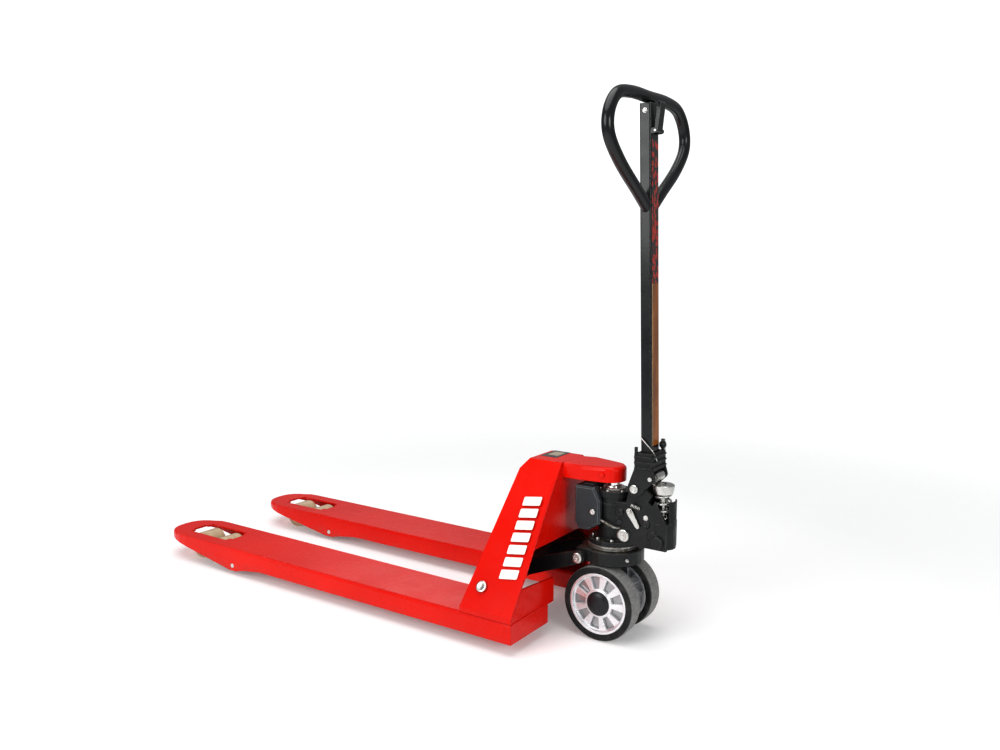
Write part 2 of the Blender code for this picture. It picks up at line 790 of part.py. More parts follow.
def side_plate_inside(height):
    """How far out the inner face of a side plate lies at this height."""
    foot, fold, top = head_front_outline(HEAD_PLATE)[:3]
    if height <= fold[1]:
        return foot[0]
    share = (height - fold[1]) / (top[1] - fold[1])
    return fold[0] + share * (top[0] - fold[0])


# ---------------------------------------------------------------- rocker and push rods


def make_rocker():
    """The torsion tube with two long arms to the yoke and a forked lever over each push rod."""
    pivot = (ROCKER_X, ROCKER_Z)
    lever_out = FORK_Y + PUSH_ROD_WIDTH / 2 + SIDE_PLAY + LEVER_THICKNESS
    limit = side_plate_inside(ROCKER_Z + ROCKER_TUBE / 2) - SIDE_PLAY
    tube_reach = min(lever_out + SIDE_PLAY, limit)
    rocker = rod(
        "rocker",
        "black_casting",
        "rocker",
        (ROCKER_X, -tube_reach, ROCKER_Z),
        (ROCKER_X, tube_reach, ROCKER_Z),
        ROCKER_TUBE / 2,
    )
    eye = (YOKE_PIN_X, YOKE_PIN_Z)
    along = Vector((math.cos(ARM_RISE), math.sin(ARM_RISE)))
    arm_length = math.hypot(eye[0] - pivot[0], eye[1] - pivot[1])
    slack = arm_length - (YOKE_PIN_X - ROCKER_X)
    inner_eye = Vector(eye) - along * slack
    arm = hull(circle(pivot, ROCKER_TUBE / 2), circle(eye, ARM_DEPTH / 2))
    pin_slot = slot(tuple(inner_eye), eye, YOKE_PIN / 2 + SLIDE_FIT + SIDE_PLAY / 2)
    lever_pin = (LEVER_PIN_X, LEVER_PIN_Z)
    lever = hull(circle(pivot, ROCKER_TUBE / 2), circle(lever_pin, PUSH_ROD_PIN))
    radial = (Vector(lever_pin) - Vector(pivot)).normalized()
    play = LEVER_RADIUS * (1 - math.cos(ROCKER_SWING / 2))
    lever_slot = slot(
        tuple(Vector(lever_pin) - radial * play), lever_pin, PUSH_ROD_PIN / 2 + SLIDE_FIT
    )
    bores = []
    for side, sign in SIDES.items():
        near = sign * ARM_IN
        far = sign * (ARM_IN + ARM_THICKNESS)
        weld(rocker, prism("arm_" + side, "black_casting", "rocker", arm, "y", near, far))
        reach = (near - sign * SIDE_PLAY, far + sign * SIDE_PLAY)
        bores.append(prism("arm_eye_" + side, "black_casting", "rocker", pin_slot, "y", *reach))
        for place, step in (("inner", -1), ("outer", 1)):
            near = sign * FORK_Y + sign * step * (PUSH_ROD_WIDTH / 2 + SIDE_PLAY)
            far = near + sign * step * LEVER_THICKNESS
            name = "lever_" + side + "_" + place
            weld(rocker, prism(name, "black_casting", "rocker", lever, "y", near, far))
        reach = (
            sign * FORK_Y - PUSH_ROD_WIDTH / 2 - 2 * LEVER_THICKNESS,
            sign * FORK_Y + PUSH_ROD_WIDTH / 2 + 2 * LEVER_THICKNESS,
        )
        bores.append(
            prism("lever_eye_" + side, "black_casting", "rocker", lever_slot, "y", *reach)
        )
    bores.append(
        rod(
            "shaft_bore",
            "black_casting",
            "rocker",
            (ROCKER_X, -OVERALL_WIDTH, ROCKER_Z),
            (ROCKER_X, OVERALL_WIDTH, ROCKER_Z),
            ROCKER_SHAFT / 2 + FIT,
        )
    )
    cut(rocker, *bores)


def make_push_rod(side):
    """A bar under the fork's deck that turns up inside the head, with a cross pin at each end."""
    sign = SIDES[side]
    y = sign * FORK_Y
    body = "push_rod_" + side
    half = PUSH_ROD_WIDTH / 2
    deep = PUSH_ROD_DEPTH / 2
    up = PUSH_ROD_PIN
    corner = up - PUSH_ROD_CORNER
    outline = [
        (CRANK_PIN_X - deep, CRANK_PIN_Z - deep),
        (LEVER_PIN_X + up, CRANK_PIN_Z - deep),
        (LEVER_PIN_X + up, LEVER_PIN_Z + corner),
        (LEVER_PIN_X + corner, LEVER_PIN_Z + up),
        (LEVER_PIN_X - corner, LEVER_PIN_Z + up),
        (LEVER_PIN_X - up, LEVER_PIN_Z + corner),
        (LEVER_PIN_X - up, CRANK_PIN_Z + deep),
        (CRANK_PIN_X - deep, CRANK_PIN_Z + deep),
    ]
    bar = prism("push_rod_" + side, "black_casting", body, outline, "y", y - half, y + half)
    lever_reach = half + SIDE_PLAY + LEVER_THICKNESS
    crank_reach = FRAME_CHEEK_IN + LINK_PLATE
    for name, x, z, reach in (
        ("lever_pin_", LEVER_PIN_X, LEVER_PIN_Z, lever_reach),
        ("crank_pin_", CRANK_PIN_X, CRANK_PIN_Z, crank_reach),
    ):
        weld(
            bar,
            rod(
                name + side,
                "black_casting",
                body,
                (x, y - reach, z),
                (x, y + reach, z),
                PUSH_ROD_PIN / 2,
                steps=16,
            ),
        )


# ---------------------------------------------------------------- load rollers


def make_roller_frame(side):
    """Two cheeks on a pivot tube, which swing the bogie down as the push rod moves out."""
    y = SIDES[side] * FORK_Y
    body = "roller_frame_" + side
    pivot = (FRAME_PIVOT_X, FRAME_PIVOT_Z)
    crank = (CRANK_PIN_X, CRANK_PIN_Z)
    bogie = (BOGIE_X, ROLLER_Z)
    cheek = hull(
        circle(pivot, FRAME_PIN - FIT),
        circle(bogie, BOGIE_EYE),
        circle(crank, CRANK_EYE),
    )
    reach = FRAME_CHEEK_IN + LINK_PLATE
    frame = rod(
        "roller_frame_" + side,
        "black_casting",
        body,
        (pivot[0], y - reach, pivot[1]),
        (pivot[0], y + reach, pivot[1]),
        FRAME_PIN - SLIDE_FIT,
    )
    for place, step in (("inner", -1), ("outer", 1)):
        near = y + step * FRAME_CHEEK_IN
        far = y + step * reach
        name = "_".join(("cheek", side, place))
        weld(frame, prism(name, "black_casting", body, cheek, "y", near, far))
    radial = (Vector(crank) - Vector(pivot)).normalized()
    play = CRANK_RADIUS * (1 - math.cos(FRAME_SWING / 2))
    crank_slot = slot(
        tuple(Vector(crank) - radial * play), crank, PUSH_ROD_PIN / 2 + SLIDE_FIT + FIT
    )
    beyond = reach + SIDE_PLAY
    tools = [
        prism("crank_slot_" + side, "black_casting", body, crank_slot, "y", y - beyond, y + beyond)
    ]
    for name, centre, radius in (
        ("frame_bore_", pivot, FRAME_PIN / 2 + FIT),
        ("bogie_bore_", bogie, BOGIE_PIN / 2 + FIT),
    ):
        start = (centre[0], y - beyond, centre[1])
        end = (centre[0], y + beyond, centre[1])
        tools.append(rod(name + side, "black_casting", body, start, end, radius))
    cut(frame, *tools)
    rod(
        "bogie_pin_" + side,
        "zinc",
        body,
        (BOGIE_X, y - reach, ROLLER_Z),
        (BOGIE_X, y + reach, ROLLER_Z),
        BOGIE_PIN / 2,
        steps=16,
    )


def make_bogie(side):
    """Two link plates on a spacer tube, with a load roller before and behind it."""
    y = SIDES[side] * FORK_Y
    body = "bogie_" + side
    places = {"tip": BOGIE_X - ROLLER_PITCH / 2, "heel": BOGIE_X + ROLLER_PITCH / 2}
    radius = ROLLER_AXLE
    plate = hull(*[circle((x, ROLLER_Z), radius) for x in places.values()])
    reach = LINK_PLATE_IN + LINK_PLATE
    bogie = rod(
        "bogie_" + side,
        "black_casting",
        body,
        (BOGIE_X, y - reach, ROLLER_Z),
        (BOGIE_X, y + reach, ROLLER_Z),
        (ROLLER_PITCH - ROLLER_DIAMETER) / 2 - SLIDE_FIT,
    )
    for place, step in (("inner", -1), ("outer", 1)):
        near = y + step * LINK_PLATE_IN
        far = y + step * reach
        name = "_".join(("link", side, place))
        weld(bogie, prism(name, "black_casting", body, plate, "y", near, far))
    beyond = reach + SIDE_PLAY
    holes = {"bogie": (BOGIE_X, BOGIE_PIN / 2 + FIT)}
    for place, x in places.items():
        holes[place] = (x, ROLLER_AXLE / 2 + FIT)
    tools = []
    for place, (x, bore) in holes.items():
        name = "link_bore_" + side + "_" + place
        start = (x, y - beyond, ROLLER_Z)
        tools.append(rod(name, "black_casting", body, start, (x, y + beyond, ROLLER_Z), bore))
    cut(bogie, *tools)
    for place, x in places.items():
        start = Vector((x, y - reach, ROLLER_Z))
        end = Vector((x, y + reach, ROLLER_Z))
        name = "_".join(("roller_axle", side, place))
        rod(name, "zinc", body, start, end, ROLLER_AXLE / 2, steps=16)
        half = ROLLER_WIDTH / 2
        profile = ring_profile(
            ROLLER_AXLE / 2 + SLIDE_FIT, ROLLER_DIAMETER / 2, -half, half, ROLLER_CHAMFER
        )
        name = "_".join(("load_roller", side, place))
        spin = "_".join(("roller", side, place))
        turned(name, "roller_urethane", spin, profile, (x, y, ROLLER_Z), (0, 1, 0))


# ---------------------------------------------------------------- base yoke


def make_base():
    """The plate that the pump turns on, with a lug for each rocker arm."""
    plate = circle((STEER_X, 0), YOKE_RADIUS, 28)
    yoke = prism("base_yoke", "black_casting", "base", plate, "z", YOKE_BOTTOM, YOKE_TOP)
    lug_in = YOKE_PIN_X - YOKE_PIN_HEAD / 2
    lug = box(
        "yoke_lugs",
        "black_casting",
        "base",
        (lug_in, -YOKE_HALF_WIDTH, YOKE_BOTTOM),
        (STEER_X, YOKE_HALF_WIDTH, YOKE_TOP),
    )
    weld(yoke, lug)
    bore = rod(
        "yoke_bore",
        "black_casting",
        "base",
        (STEER_X, 0, 0),
        (STEER_X, 0, 1),
        SPIGOT_RADIUS + SLIDE_FIT,
        steps=24,
    )
    pin_bore = rod(
        "yoke_pin_bore",
        "black_casting",
        "base",
        (YOKE_PIN_X, -1, YOKE_PIN_Z),
        (YOKE_PIN_X, 1, YOKE_PIN_Z),
        YOKE_PIN / 2 + FIT,
    )
    cut(yoke, bore, pin_bore)
    arm_reach = ROCKER_X + math.hypot(YOKE_PIN_X - ROCKER_X, YOKE_PIN_Z - ROCKER_Z)
    relief_end = arm_reach + ARM_DEPTH / 2 + SIDE_PLAY
    for side, sign in SIDES.items():
        near, far = sorted((sign * YOKE_HALF_WIDTH, sign * FORK_WIDTH))
        low, high = (0, near, YOKE_BOTTOM - FORK_WALL), (relief_end, far, YOKE_TOP + FORK_WALL)
        cut(yoke, box("arm_relief_" + side, "black_casting", "base", low, high))
    profile = ring_profile(
        SPIGOT_RADIUS + SIDE_PLAY, BEARING_RADIUS, 0, BEARING_HEIGHT, BEARING_CHAMFER
    )
    seat = (STEER_X, 0, YOKE_TOP + FIT)
    turned("thrust_bearing", "bearing_steel", "base", profile, seat, (0, 0, 1))
    head_in = ARM_IN + ARM_THICKNESS + SIDE_PLAY
    head_out = head_in + YOKE_PIN_HEAD_HEIGHT
    inner_end = YOKE_HALF_WIDTH / 2
    for side, sign in SIDES.items():
        pin = YOKE_PIN / 2
        head = YOKE_PIN_HEAD / 2
        profile = [
            (inner_end, 0),
            (inner_end, pin),
            (head_in, pin),
            (head_in, head),
            (head_out - HEAD_EDGE, head),
            (head_out, head - HEAD_EDGE),
            (head_out, 0),
        ]
        seat = (YOKE_PIN_X, 0, YOKE_PIN_Z)
        turned("yoke_pin_" + side, "zinc", "base", profile, seat, (0, sign, 0), steps=24)


# ---------------------------------------------------------------- pump


def upright(name, radius, low, high, steps=24):
    """A round cutter or boss on the plunger's upright axis."""
    return rod(
        name, "black_casting", "pump", (PLUNGER_X, 0, low), (PLUNGER_X, 0, high), radius, steps
    )


def pump_side_outline():
    """Side view of the two cheeks that carry the tiller and stand beside the spring."""
    return hull(
        circle((TILLER_X, TILLER_Z), LUG_RADIUS),
        [
            (CROSS_PIN_X - LUG_RADIUS, BLOCK_BOTTOM),
            (BLOCK_FRONT, BLOCK_BOTTOM),
            (BLOCK_FRONT, SPRING_FOOT),
            (PLUNGER_X - PLUNGER_RADIUS, LUG_SHOULDER),
        ],
    )


def press_pin_path():
    """The arc that the press roller's pin sweeps beside the spring as the tiller comes down."""
    centre = (TILLER_X, TILLER_Z)
    reach = math.hypot(PRESS_ROLLER_X, PRESS_ROLLER_Z)
    room = PRESS_PIN / 2 + SIDE_PLAY
    first = math.degrees(math.atan2(PRESS_ROLLER_Z, PRESS_ROLLER_X) - TILLER_LEAN)
    spare = math.degrees(room / (reach - room))
    last = first - math.degrees(TILLER_SWING) - spare
    outer = arc(centre, reach + room, first + spare, last, 12)
    return outer + arc(centre, reach - room, last, first + spare, 12)


def make_pump_body():
    """The pump casting: cylinder, flange, spigot, axle block, plunger cup and tiller cheeks."""
    axle_half = WHEEL_TRACK / 2 - WHEEL_WIDTH - WHEEL_PLAY
    profile = [
        (WHEEL_Z, 0),
        (WHEEL_Z, SPIGOT_RADIUS),
        (PUMP_BOTTOM, SPIGOT_RADIUS),
        (PUMP_BOTTOM, BEARING_RADIUS),
        (PUMP_BOTTOM + FLANGE_HEIGHT, BEARING_RADIUS),
        (PUMP_BOTTOM + FLANGE_HEIGHT, CYLINDER_RADIUS),
        (CYLINDER_TOP - COLLAR_HEIGHT, CYLINDER_RADIUS),
        (CYLINDER_TOP - COLLAR_HEIGHT, COLLAR_RADIUS),
        (CYLINDER_TOP, COLLAR_RADIUS),
        (CYLINDER_TOP, 0),
    ]
    pump = turned("pump_body", "black_casting", "pump", profile, (STEER_X, 0, 0), (0, 0, 1))
    half = BLOCK_WIDTH / 2
    low = BLOCK_BOTTOM + CAST_STEP
    shelf = SPRING_FOOT - 2 * CAST_STEP
    block_outline = [
        (STEER_X, low),
        (PLUNGER_X, low),
        (PLUNGER_X, shelf),
        (BLOCK_STEP, shelf),
        (BLOCK_STEP, BLOCK_TOP),
        (STEER_X, BLOCK_TOP),
    ]
    axle_block = box(
        "axle_block",
        "black_casting",
        "pump",
        (STEER_X - AXLE_BLOCK_HALF_DEPTH, -axle_half, WHEEL_Z - AXLE_DIAMETER),
        (STEER_X + AXLE_BLOCK_HALF_DEPTH, axle_half, YOKE_BOTTOM - WHEEL_PLAY * 2),
    )
    inset = half - CAST_STEP
    block = prism("plunger_block", "black_casting", "pump", block_outline, "y", -inset, inset)
    weld(pump, axle_block, block)
    for name, sign in SIDES.items():
        outer = sign * half
        inner = outer - sign * LUG_THICKNESS
        outline = pump_side_outline()
        weld(pump, prism("pump_side_" + name, "black_casting", "pump", outline, "y", inner, outer))
    room = SPRING_CAP_RADIUS + SIDE_PLAY
    room_low = SPRING_FOOT - CAST_STEP
    cut(pump, upright("spring_room", room, room_low, LUG_SHOULDER + SPRING_LENGTH))
    weld(pump, upright("plunger_cup", CUP_RADIUS, low + CAST_STEP, SPRING_FOOT))
    piston_foot = NOSE_BOTTOM + NOSE_HEIGHT / 2 - PISTON_LENGTH - WHEEL_PLAY
    bores = [
        rod(
            "piston_bore",
            "black_casting",
            "pump",
            (STEER_X, 0, piston_foot),
            (STEER_X, 0, 1),
            PISTON_RADIUS + SLIDE_FIT,
        ),
        upright("plunger_bore", PLUNGER_RADIUS + SLIDE_FIT, 0, SPRING_FOOT + SPRING_LENGTH, 16),
    ]
    for name, x, z, diameter in (
        ("axle_bore", STEER_X, WHEEL_Z, AXLE_DIAMETER),
        ("cross_pin_bore", CROSS_PIN_X, CROSS_PIN_Z, CROSS_PIN),
        ("tiller_bore", TILLER_X, TILLER_Z, TILLER_BOLT),
    ):
        radius = diameter / 2 + FIT
        bores.append(rod(name, "black_casting", "pump", (x, -1, z), (x, 1, z), radius, 16))
    pin_path = prism("pin_path", "black_casting", "pump", press_pin_path(), "y", -1, 1)
    cut(pump, pin_path, *bores)


def make_tank():
    """The oil tank behind the cylinder: a cast box with chamfered corners."""
    rear, front, low, high = TANK_REAR, TANK_FRONT, TANK_BOTTOM, TANK_TOP
    step = TANK_CHAMFER
    outline = [
        (rear, low + step),
        (rear + TANK_REAR_CHAMFER, low),
        (front - TANK_SOLE_CHAMFER, low),
        (front, low + TANK_FOOT_RISE),
        (front, high - step * 2),
        (front - step, high),
        (rear, high),
    ]
    half = TANK_WIDTH / 2
    bm = prism_mesh(outline, "y", -half, half)
    rims = [edge for edge in bm.edges if abs(edge.verts[0].co.y - edge.verts[1].co.y) < FIT]
    bevel_edges(bm, rims, TANK_RIM, 1)
    tank = finish(bm, "oil_tank", "grey_tank", "pump")
    room = rod(
        "tank_room",
        "grey_tank",
        "pump",
        (STEER_X, 0, 0),
        (STEER_X, 0, 1),
        COLLAR_RADIUS + FIT * 2,
        steps=24,
    )
    cut(tank, room)
    start = (front - step, -half - FIT, TANK_SCREW_Z)
    end = (front - step, -half - FIT - TANK_SCREW_HEIGHT, TANK_SCREW_Z)
    rod("tank_screw", "zinc", "pump", start, end, TANK_SCREW / 2, steps=16, chamfer=0.001)


def make_pump_fittings():
    head_in = BLOCK_WIDTH / 2 + FIT
    head_out = head_in + CROSS_PIN_HEAD_HEIGHT
    pin = CROSS_PIN / 2
    head = CROSS_PIN_HEAD / 2
    half = [(head_in, pin), (head_in, head)]
    half += [(head_out - HEAD_EDGE, head), (head_out, head - HEAD_EDGE)]
    profile = [(-head_out, 0)] + [(-d, r) for d, r in reversed(half)]
    profile += half + [(head_out, 0)]
    seat = (CROSS_PIN_X, 0, CROSS_PIN_Z)
    turned("cross_pin", "zinc", "pump", profile, seat, (0, 1, 0))
    axle_reach = WHEEL_TRACK / 2 - HUB_CAP_HEIGHT
    rod(
        "steer_axle",
        "zinc",
        "pump",
        (STEER_X, -axle_reach, WHEEL_Z),
        (STEER_X, axle_reach, WHEEL_Z),
        AXLE_DIAMETER / 2,
        chamfer=0.001,
    )
    make_guard()


def make_guard():
    """A curved plate in front of the spring, standing on the plunger cup."""
    inner = SPRING_CAP_RADIUS + SIDE_PLAY * 2
    outer = inner + GUARD_THICKNESS
    spread = math.degrees(GUARD_SPREAD)
    centre = (PLUNGER_X, 0)
    outline = arc(centre, outer, -spread, spread, 8) + arc(centre, inner, spread, -spread, 8)
    low, high = SPRING_FOOT + FIT, PLUNGER_Z - GUARD_TOP
    prism("spring_guard", "black_casting", "pump", outline, "z", low, high)


def make_plunger():
    """The spring's cap on the plunger rod, and the spring round it."""
    cap = PRESS_ROLLER_Z - PRESS_ROLLER_RADIUS + TILLER_Z - PLUNGER_Z - SIDE_PLAY
    wide = SPRING_CAP_RADIUS
    foot = SPRING_LENGTH + PLUNGER_RADIUS
    profile = [
        (-cap, 0),
        (-cap, wide - cap / 2),
        (-cap / 2, wide),
        (-FIT, wide),
        (-FIT, PLUNGER_RADIUS),
        (foot, PLUNGER_RADIUS),
        (foot, 0),
    ]
    turned("spring_cap", "zinc", "plunger", profile, PLUNGER_SEAT, (0, 0, -1))
    make_spring()


def make_spring():
    """A coil of round wire from the cap down to the cup."""
    per_turn, sides = 10, 5
    wire = SPRING_WIRE / 2
    radius = SPRING_RADIUS - wire
    count = round(SPRING_TURNS * per_turn)
    bm = bmesh.new()
    low, high = SPRING_WIRE, SPRING_LENGTH - SPRING_WIRE
    rings = []
    for index in range(count + 1):
        angle = 2 * math.pi * index / per_turn
        depth = low + (high - low) * index / count
        ring = []
        for side in range(sides):
            around = 2 * math.pi * side / sides
            reach = radius + wire * math.cos(around)
            spot = Vector((reach * math.cos(angle), reach * math.sin(angle), -depth))
            spot.z += wire * math.sin(around)
            ring.append(bm.verts.new(PLUNGER_SEAT + spot))
        rings.append(ring)
    for first, second in zip(rings, rings[1:]):
        for side in range(sides):
            after = (side + 1) % sides
            bm.faces.new((first[side], first[after], second[after], second[side]))
    bm.faces.new(rings[0])
    bm.faces.new(rings[-1])
    finish(bm, "plunger_spring", "zinc", "pump")


def make_release_arm():
    """The small lever on the pump's side that opens the lowering valve."""
    near = BLOCK_WIDTH / 2 + SIDE_PLAY
    far = near + RELEASE_THICKNESS
    tip = (RELEASE_X + RELEASE_RUN, RELEASE_Z - RELEASE_DROP)
    outline = hull(circle((RELEASE_X, RELEASE_Z), RELEASE_EYE), circle(tip, RELEASE_TIP))
    prism("release_arm", "zinc", "release_arm", outline, "y", -far, -near)


# ---------------------------------------------------------------- steering wheels


def make_wheel(side):
    sign = SIDES[side]
    body = "wheel_" + side
    inner = WHEEL_TRACK / 2 - WHEEL_WIDTH
    outer = WHEEL_TRACK / 2
    radius = WHEEL_DIAMETER / 2
    rim = radius - TYRE_THICKNESS
    seat = (STEER_X, 0, WHEEL_Z)
    out = (0, sign, 0)
    tyre = ring_profile(rim + FIT, radius, inner, outer, TYRE_CHAMFER)
    turned("tyre_" + side, "tyre_rubber", body, tyre, seat, out, steps=36)
    bore = AXLE_DIAMETER / 2 + SLIDE_FIT
    boss = HUB_CAP_DIAMETER / 2
    cap_seat = outer - CAP_SEAT_DEPTH
    hub = [
        (inner + RIM_RECESS, bore),
        (inner + RIM_RECESS, rim),
        (outer - RIM_RECESS, rim),
        (outer - RIM_RECESS, rim - RIM_LIP),
        (outer - HUB_DISH, rim - RIM_LIP - RIM_SLOPE),
        (outer - HUB_DISH + HUB_BOSS_DROP, boss),
        (cap_seat, boss),
        (cap_seat, bore),
    ]
    turned("wheel_hub_" + side, "hub_alloy", body, hub, seat, out, steps=36)
    cap_in = cap_seat + FIT
    cap = [(cap_in, 0), (cap_in, boss)]
    for step in range(1, 5):
        angle = math.pi / 2 * step / 4
        cap.append((cap_in + HUB_CAP_HEIGHT * math.sin(angle), boss * math.cos(angle)))
    cap[-1] = (cap_in + HUB_CAP_HEIGHT, 0)
    turned("hub_cap_" + side, "cap_plastic", body, cap, seat, out, steps=20)


# ---------------------------------------------------------------- tiller


def tiller_piece(bm, name, colour, body="tiller"):
    bmesh.ops.transform(bm, matrix=TILLER_SPACE, verts=bm.verts)
    return finish(bm, name, colour, body)


def tiller_rod(name, colour, start, end, radius, steps=24, body="tiller"):
    """A round bar given in the tiller's own frame, upright with its pivot at zero."""
    start, end = TILLER_SPACE @ Vector(start), TILLER_SPACE @ Vector(end)
    return rod(name, colour, body, start, end, radius, steps)


def block_mesh(low, high):
    outline = [(low[0], low[1]), (high[0], low[1]), (high[0], high[1]), (low[0], high[1])]
    return prism_mesh(outline, "z", low[2], high[2])


def make_bracket():
    """The fork-shaped casting that holds the pole and carries the press roller."""
    outer = CHEEK_IN + CHEEK_THICKNESS
    rear = POLE_X - SOCKET_DEPTH / 2
    front = POLE_X + SOCKET_DEPTH / 2
    bm = block_mesh((rear, -outer, SOCKET_BOTTOM), (front, outer, SOCKET_TOP))
    bracket = tiller_piece(bm, "tiller_bracket", "black_casting")
    cheek = hull(
        circle((0, 0), CHEEK_RADIUS),
        circle((PRESS_ROLLER_X, PRESS_ROLLER_Z), PRESS_PIN),
        [(rear, SOCKET_BOTTOM + CHEEK_THICKNESS), (front, SOCKET_BOTTOM + CHEEK_THICKNESS)],
    )
    for side, sign in SIDES.items():
        bm = prism_mesh(cheek, "y", sign * CHEEK_IN, sign * outer)
        weld(bracket, tiller_piece(bm, "cheek_plate_" + side, "black_casting"))
    room = SLIDE_FIT
    half_x = POLE_DEPTH / 2 + room
    half_y = POLE_WIDTH / 2 + room
    bm = block_mesh(
        (POLE_X - half_x, -half_y, SOCKET_TOP - POLE_INSERT - room),
        (POLE_X + half_x, half_y, SOCKET_TOP + POLE_INSERT),
    )
    pocket = tiller_piece(bm, "pole_pocket", "black_casting")
    rod_hole = tiller_rod(
        "rod_hole",
        "black_casting",
        (POLE_X, 0, 0),
        (POLE_X, 0, SOCKET_TOP),
        PULL_ROD / 2 + PULL_ROD_CLEARANCE,
    )
    bolt_bore = tiller_rod(
        "bolt_bore", "black_casting", (0, -1, 0), (0, 1, 0), TILLER_BOLT / 2 + FIT
    )
    press = (PRESS_ROLLER_X, PRESS_ROLLER_Z)
    press_bore = tiller_rod(
        "press_bore",
        "black_casting",
        (press[0], -1, press[1]),
        (press[0], 1, press[1]),
        PRESS_PIN / 2 + FIT,
    )
    cut(bracket, pocket, rod_hole, bolt_bore, press_bore)


def headed_bolt(name, colour, body, centre, shank, head, inner, height):
    """A bolt along Y with a round head outside each cheek."""
    outer = inner + height
    edge = TILLER_BOLT_EDGE
    half = [(inner, shank), (inner, head), (outer - edge, head), (outer, head - edge)]
    profile = [(-outer, 0)] + [(-d, r) for d, r in reversed(half)] + half + [(outer, 0)]
    return turned(name, colour, body, profile, centre, (0, 1, 0), steps=20)


def make_tiller_bolts():
    outside = CHEEK_IN + CHEEK_THICKNESS + FIT
    headed_bolt(
        "tiller_bolt",
        "zinc",
        "tiller",
        TILLER_PIVOT,
        TILLER_BOLT / 2,
        TILLER_BOLT_HEAD / 2,
        outside,
        TILLER_BOLT_HEAD_HEIGHT,
    )
    centre = PRESS_CENTRE
    half = PRESS_ROLLER_WIDTH / 2
    reach = outside + PRESS_PIN_END
    profile = [
        (-reach, 0),
        (-reach, PRESS_PIN / 2),
        (-half, PRESS_PIN / 2),
        (-half, PRESS_ROLLER_RADIUS),
        (half, PRESS_ROLLER_RADIUS),
        (half, PRESS_PIN / 2),
        (reach, PRESS_PIN / 2),
        (reach, 0),
    ]
    turned("press_roller", "zinc", "press_roller", profile, centre, (0, 1, 0), steps=24)


def make_pole():
    half_x = POLE_DEPTH / 2
    half_y = POLE_WIDTH / 2
    foot = SOCKET_TOP - POLE_INSERT
    head = HANDLE_TOP - LOOP_TUBE - 2 * FIT
    bm = block_mesh((POLE_X - half_x, -half_y, foot), (POLE_X + half_x, half_y, head))
    upright = [
        edge for edge in bm.edges if abs(edge.verts[0].co.z - edge.verts[1].co.z) > POLE_INSERT
    ]
    bevel_edges(bm, upright, POLE_CORNER, 2)
    pole = tiller_piece(bm, "handle_pole", "black_paint")
    wall = POLE_WALL
    bm = block_mesh(
        (POLE_X - half_x + wall, -half_y + wall, foot - wall),
        (POLE_X + half_x - wall, half_y - wall, head + wall),
    )
    cut(pole, tiller_piece(bm, "pole_hollow", "black_paint"))
    rod_foot = SOCKET_BOTTOM - CHEEK_THICKNESS / 2
    start, end = (POLE_X, 0, rod_foot), (POLE_X, 0, LEVER_Z)
    tiller_rod("pull_rod", "zinc", start, end, PULL_ROD / 2, steps=12, body="pull_rod")


def loop_route():
    """The middle line of the handle's loop, from one side of the pole over to the other."""
    half = (LOOP_WIDTH - LOOP_TUBE) / 2
    top = HANDLE_TOP - LOOP_TUBE / 2
    low = top - LOOP_HEIGHT + LOOP_TUBE
    rise = top - low
    knots = [
        Vector((POLE_WIDTH * 0.3, low - rise * 0.02)),
        Vector((half * 0.30, low + rise * 0.12)),
        Vector((half * 0.72, low + rise * 0.36)),
        Vector((half * 0.97, low + rise * 0.58)),
        Vector((half * 0.97, low + rise * 0.78)),
        Vector((half * 0.78, low + rise * 0.95)),
        Vector((half * 0.45, top)),
        Vector((0, top)),
    ]
    return knots + [Vector((-knot.x, knot.y)) for knot in reversed(knots[:-1])]


def smooth_route(knots, steps):
    """Points on a Catmull-Rom curve through the knots."""
    ends = [knots[0] * 2 - knots[1]] + knots + [knots[-1] * 2 - knots[-2]]
    points = []
    for a, b, c, d in zip(ends, ends[1:], ends[2:], ends[3:]):
        for step in range(steps):
            t = step / steps
            square = a * 2 - b * 5 + c * 4 - d
            cube = b * 3 - a - c * 3 + d
            points.append((b * 2 + (c - a) * t + square * t**2 + cube * t**3) / 2)
    return points + [knots[-1]]


def make_loop():
    route = smooth_route(loop_route(), 3)
    sides = 10
    radius = LOOP_TUBE / 2
    bm = bmesh.new()
    rings = []
    for index, point in enumerate(route):
        before = route[max(index - 1, 0)]
        after = route[min(index + 1, len(route) - 1)]
        along = (after - before).normalized()
        across = Vector((-along.y, along.x))
        ring = []
        for step in range(sides):
            angle = 2 * math.pi * step / sides
            spot = point + across * radius * math.cos(angle)
            ring.append(bm.verts.new((POLE_X + radius * math.sin(angle), spot.x, spot.y)))
        rings.append(ring)
    for first, second in zip(rings, rings[1:]):
        for step in range(sides):
            after = (step + 1) % sides
            bm.faces.new((first[step], first[after], second[after], second[step]))
    bm.faces.new(rings[0])
    bm.faces.new(rings[-1])
    loop = tiller_piece(bm, "handle_loop", "black_paint")
    half_x = POLE_DEPTH / 2 + FIT
    half_y = POLE_WIDTH / 2 + FIT
    head = HANDLE_TOP - LOOP_TUBE - FIT
    bm = block_mesh((POLE_X - half_x, -half_y, 0), (POLE_X + half_x, half_y, head))
    cut(loop, tiller_piece(bm, "pole_room", "black_paint"))


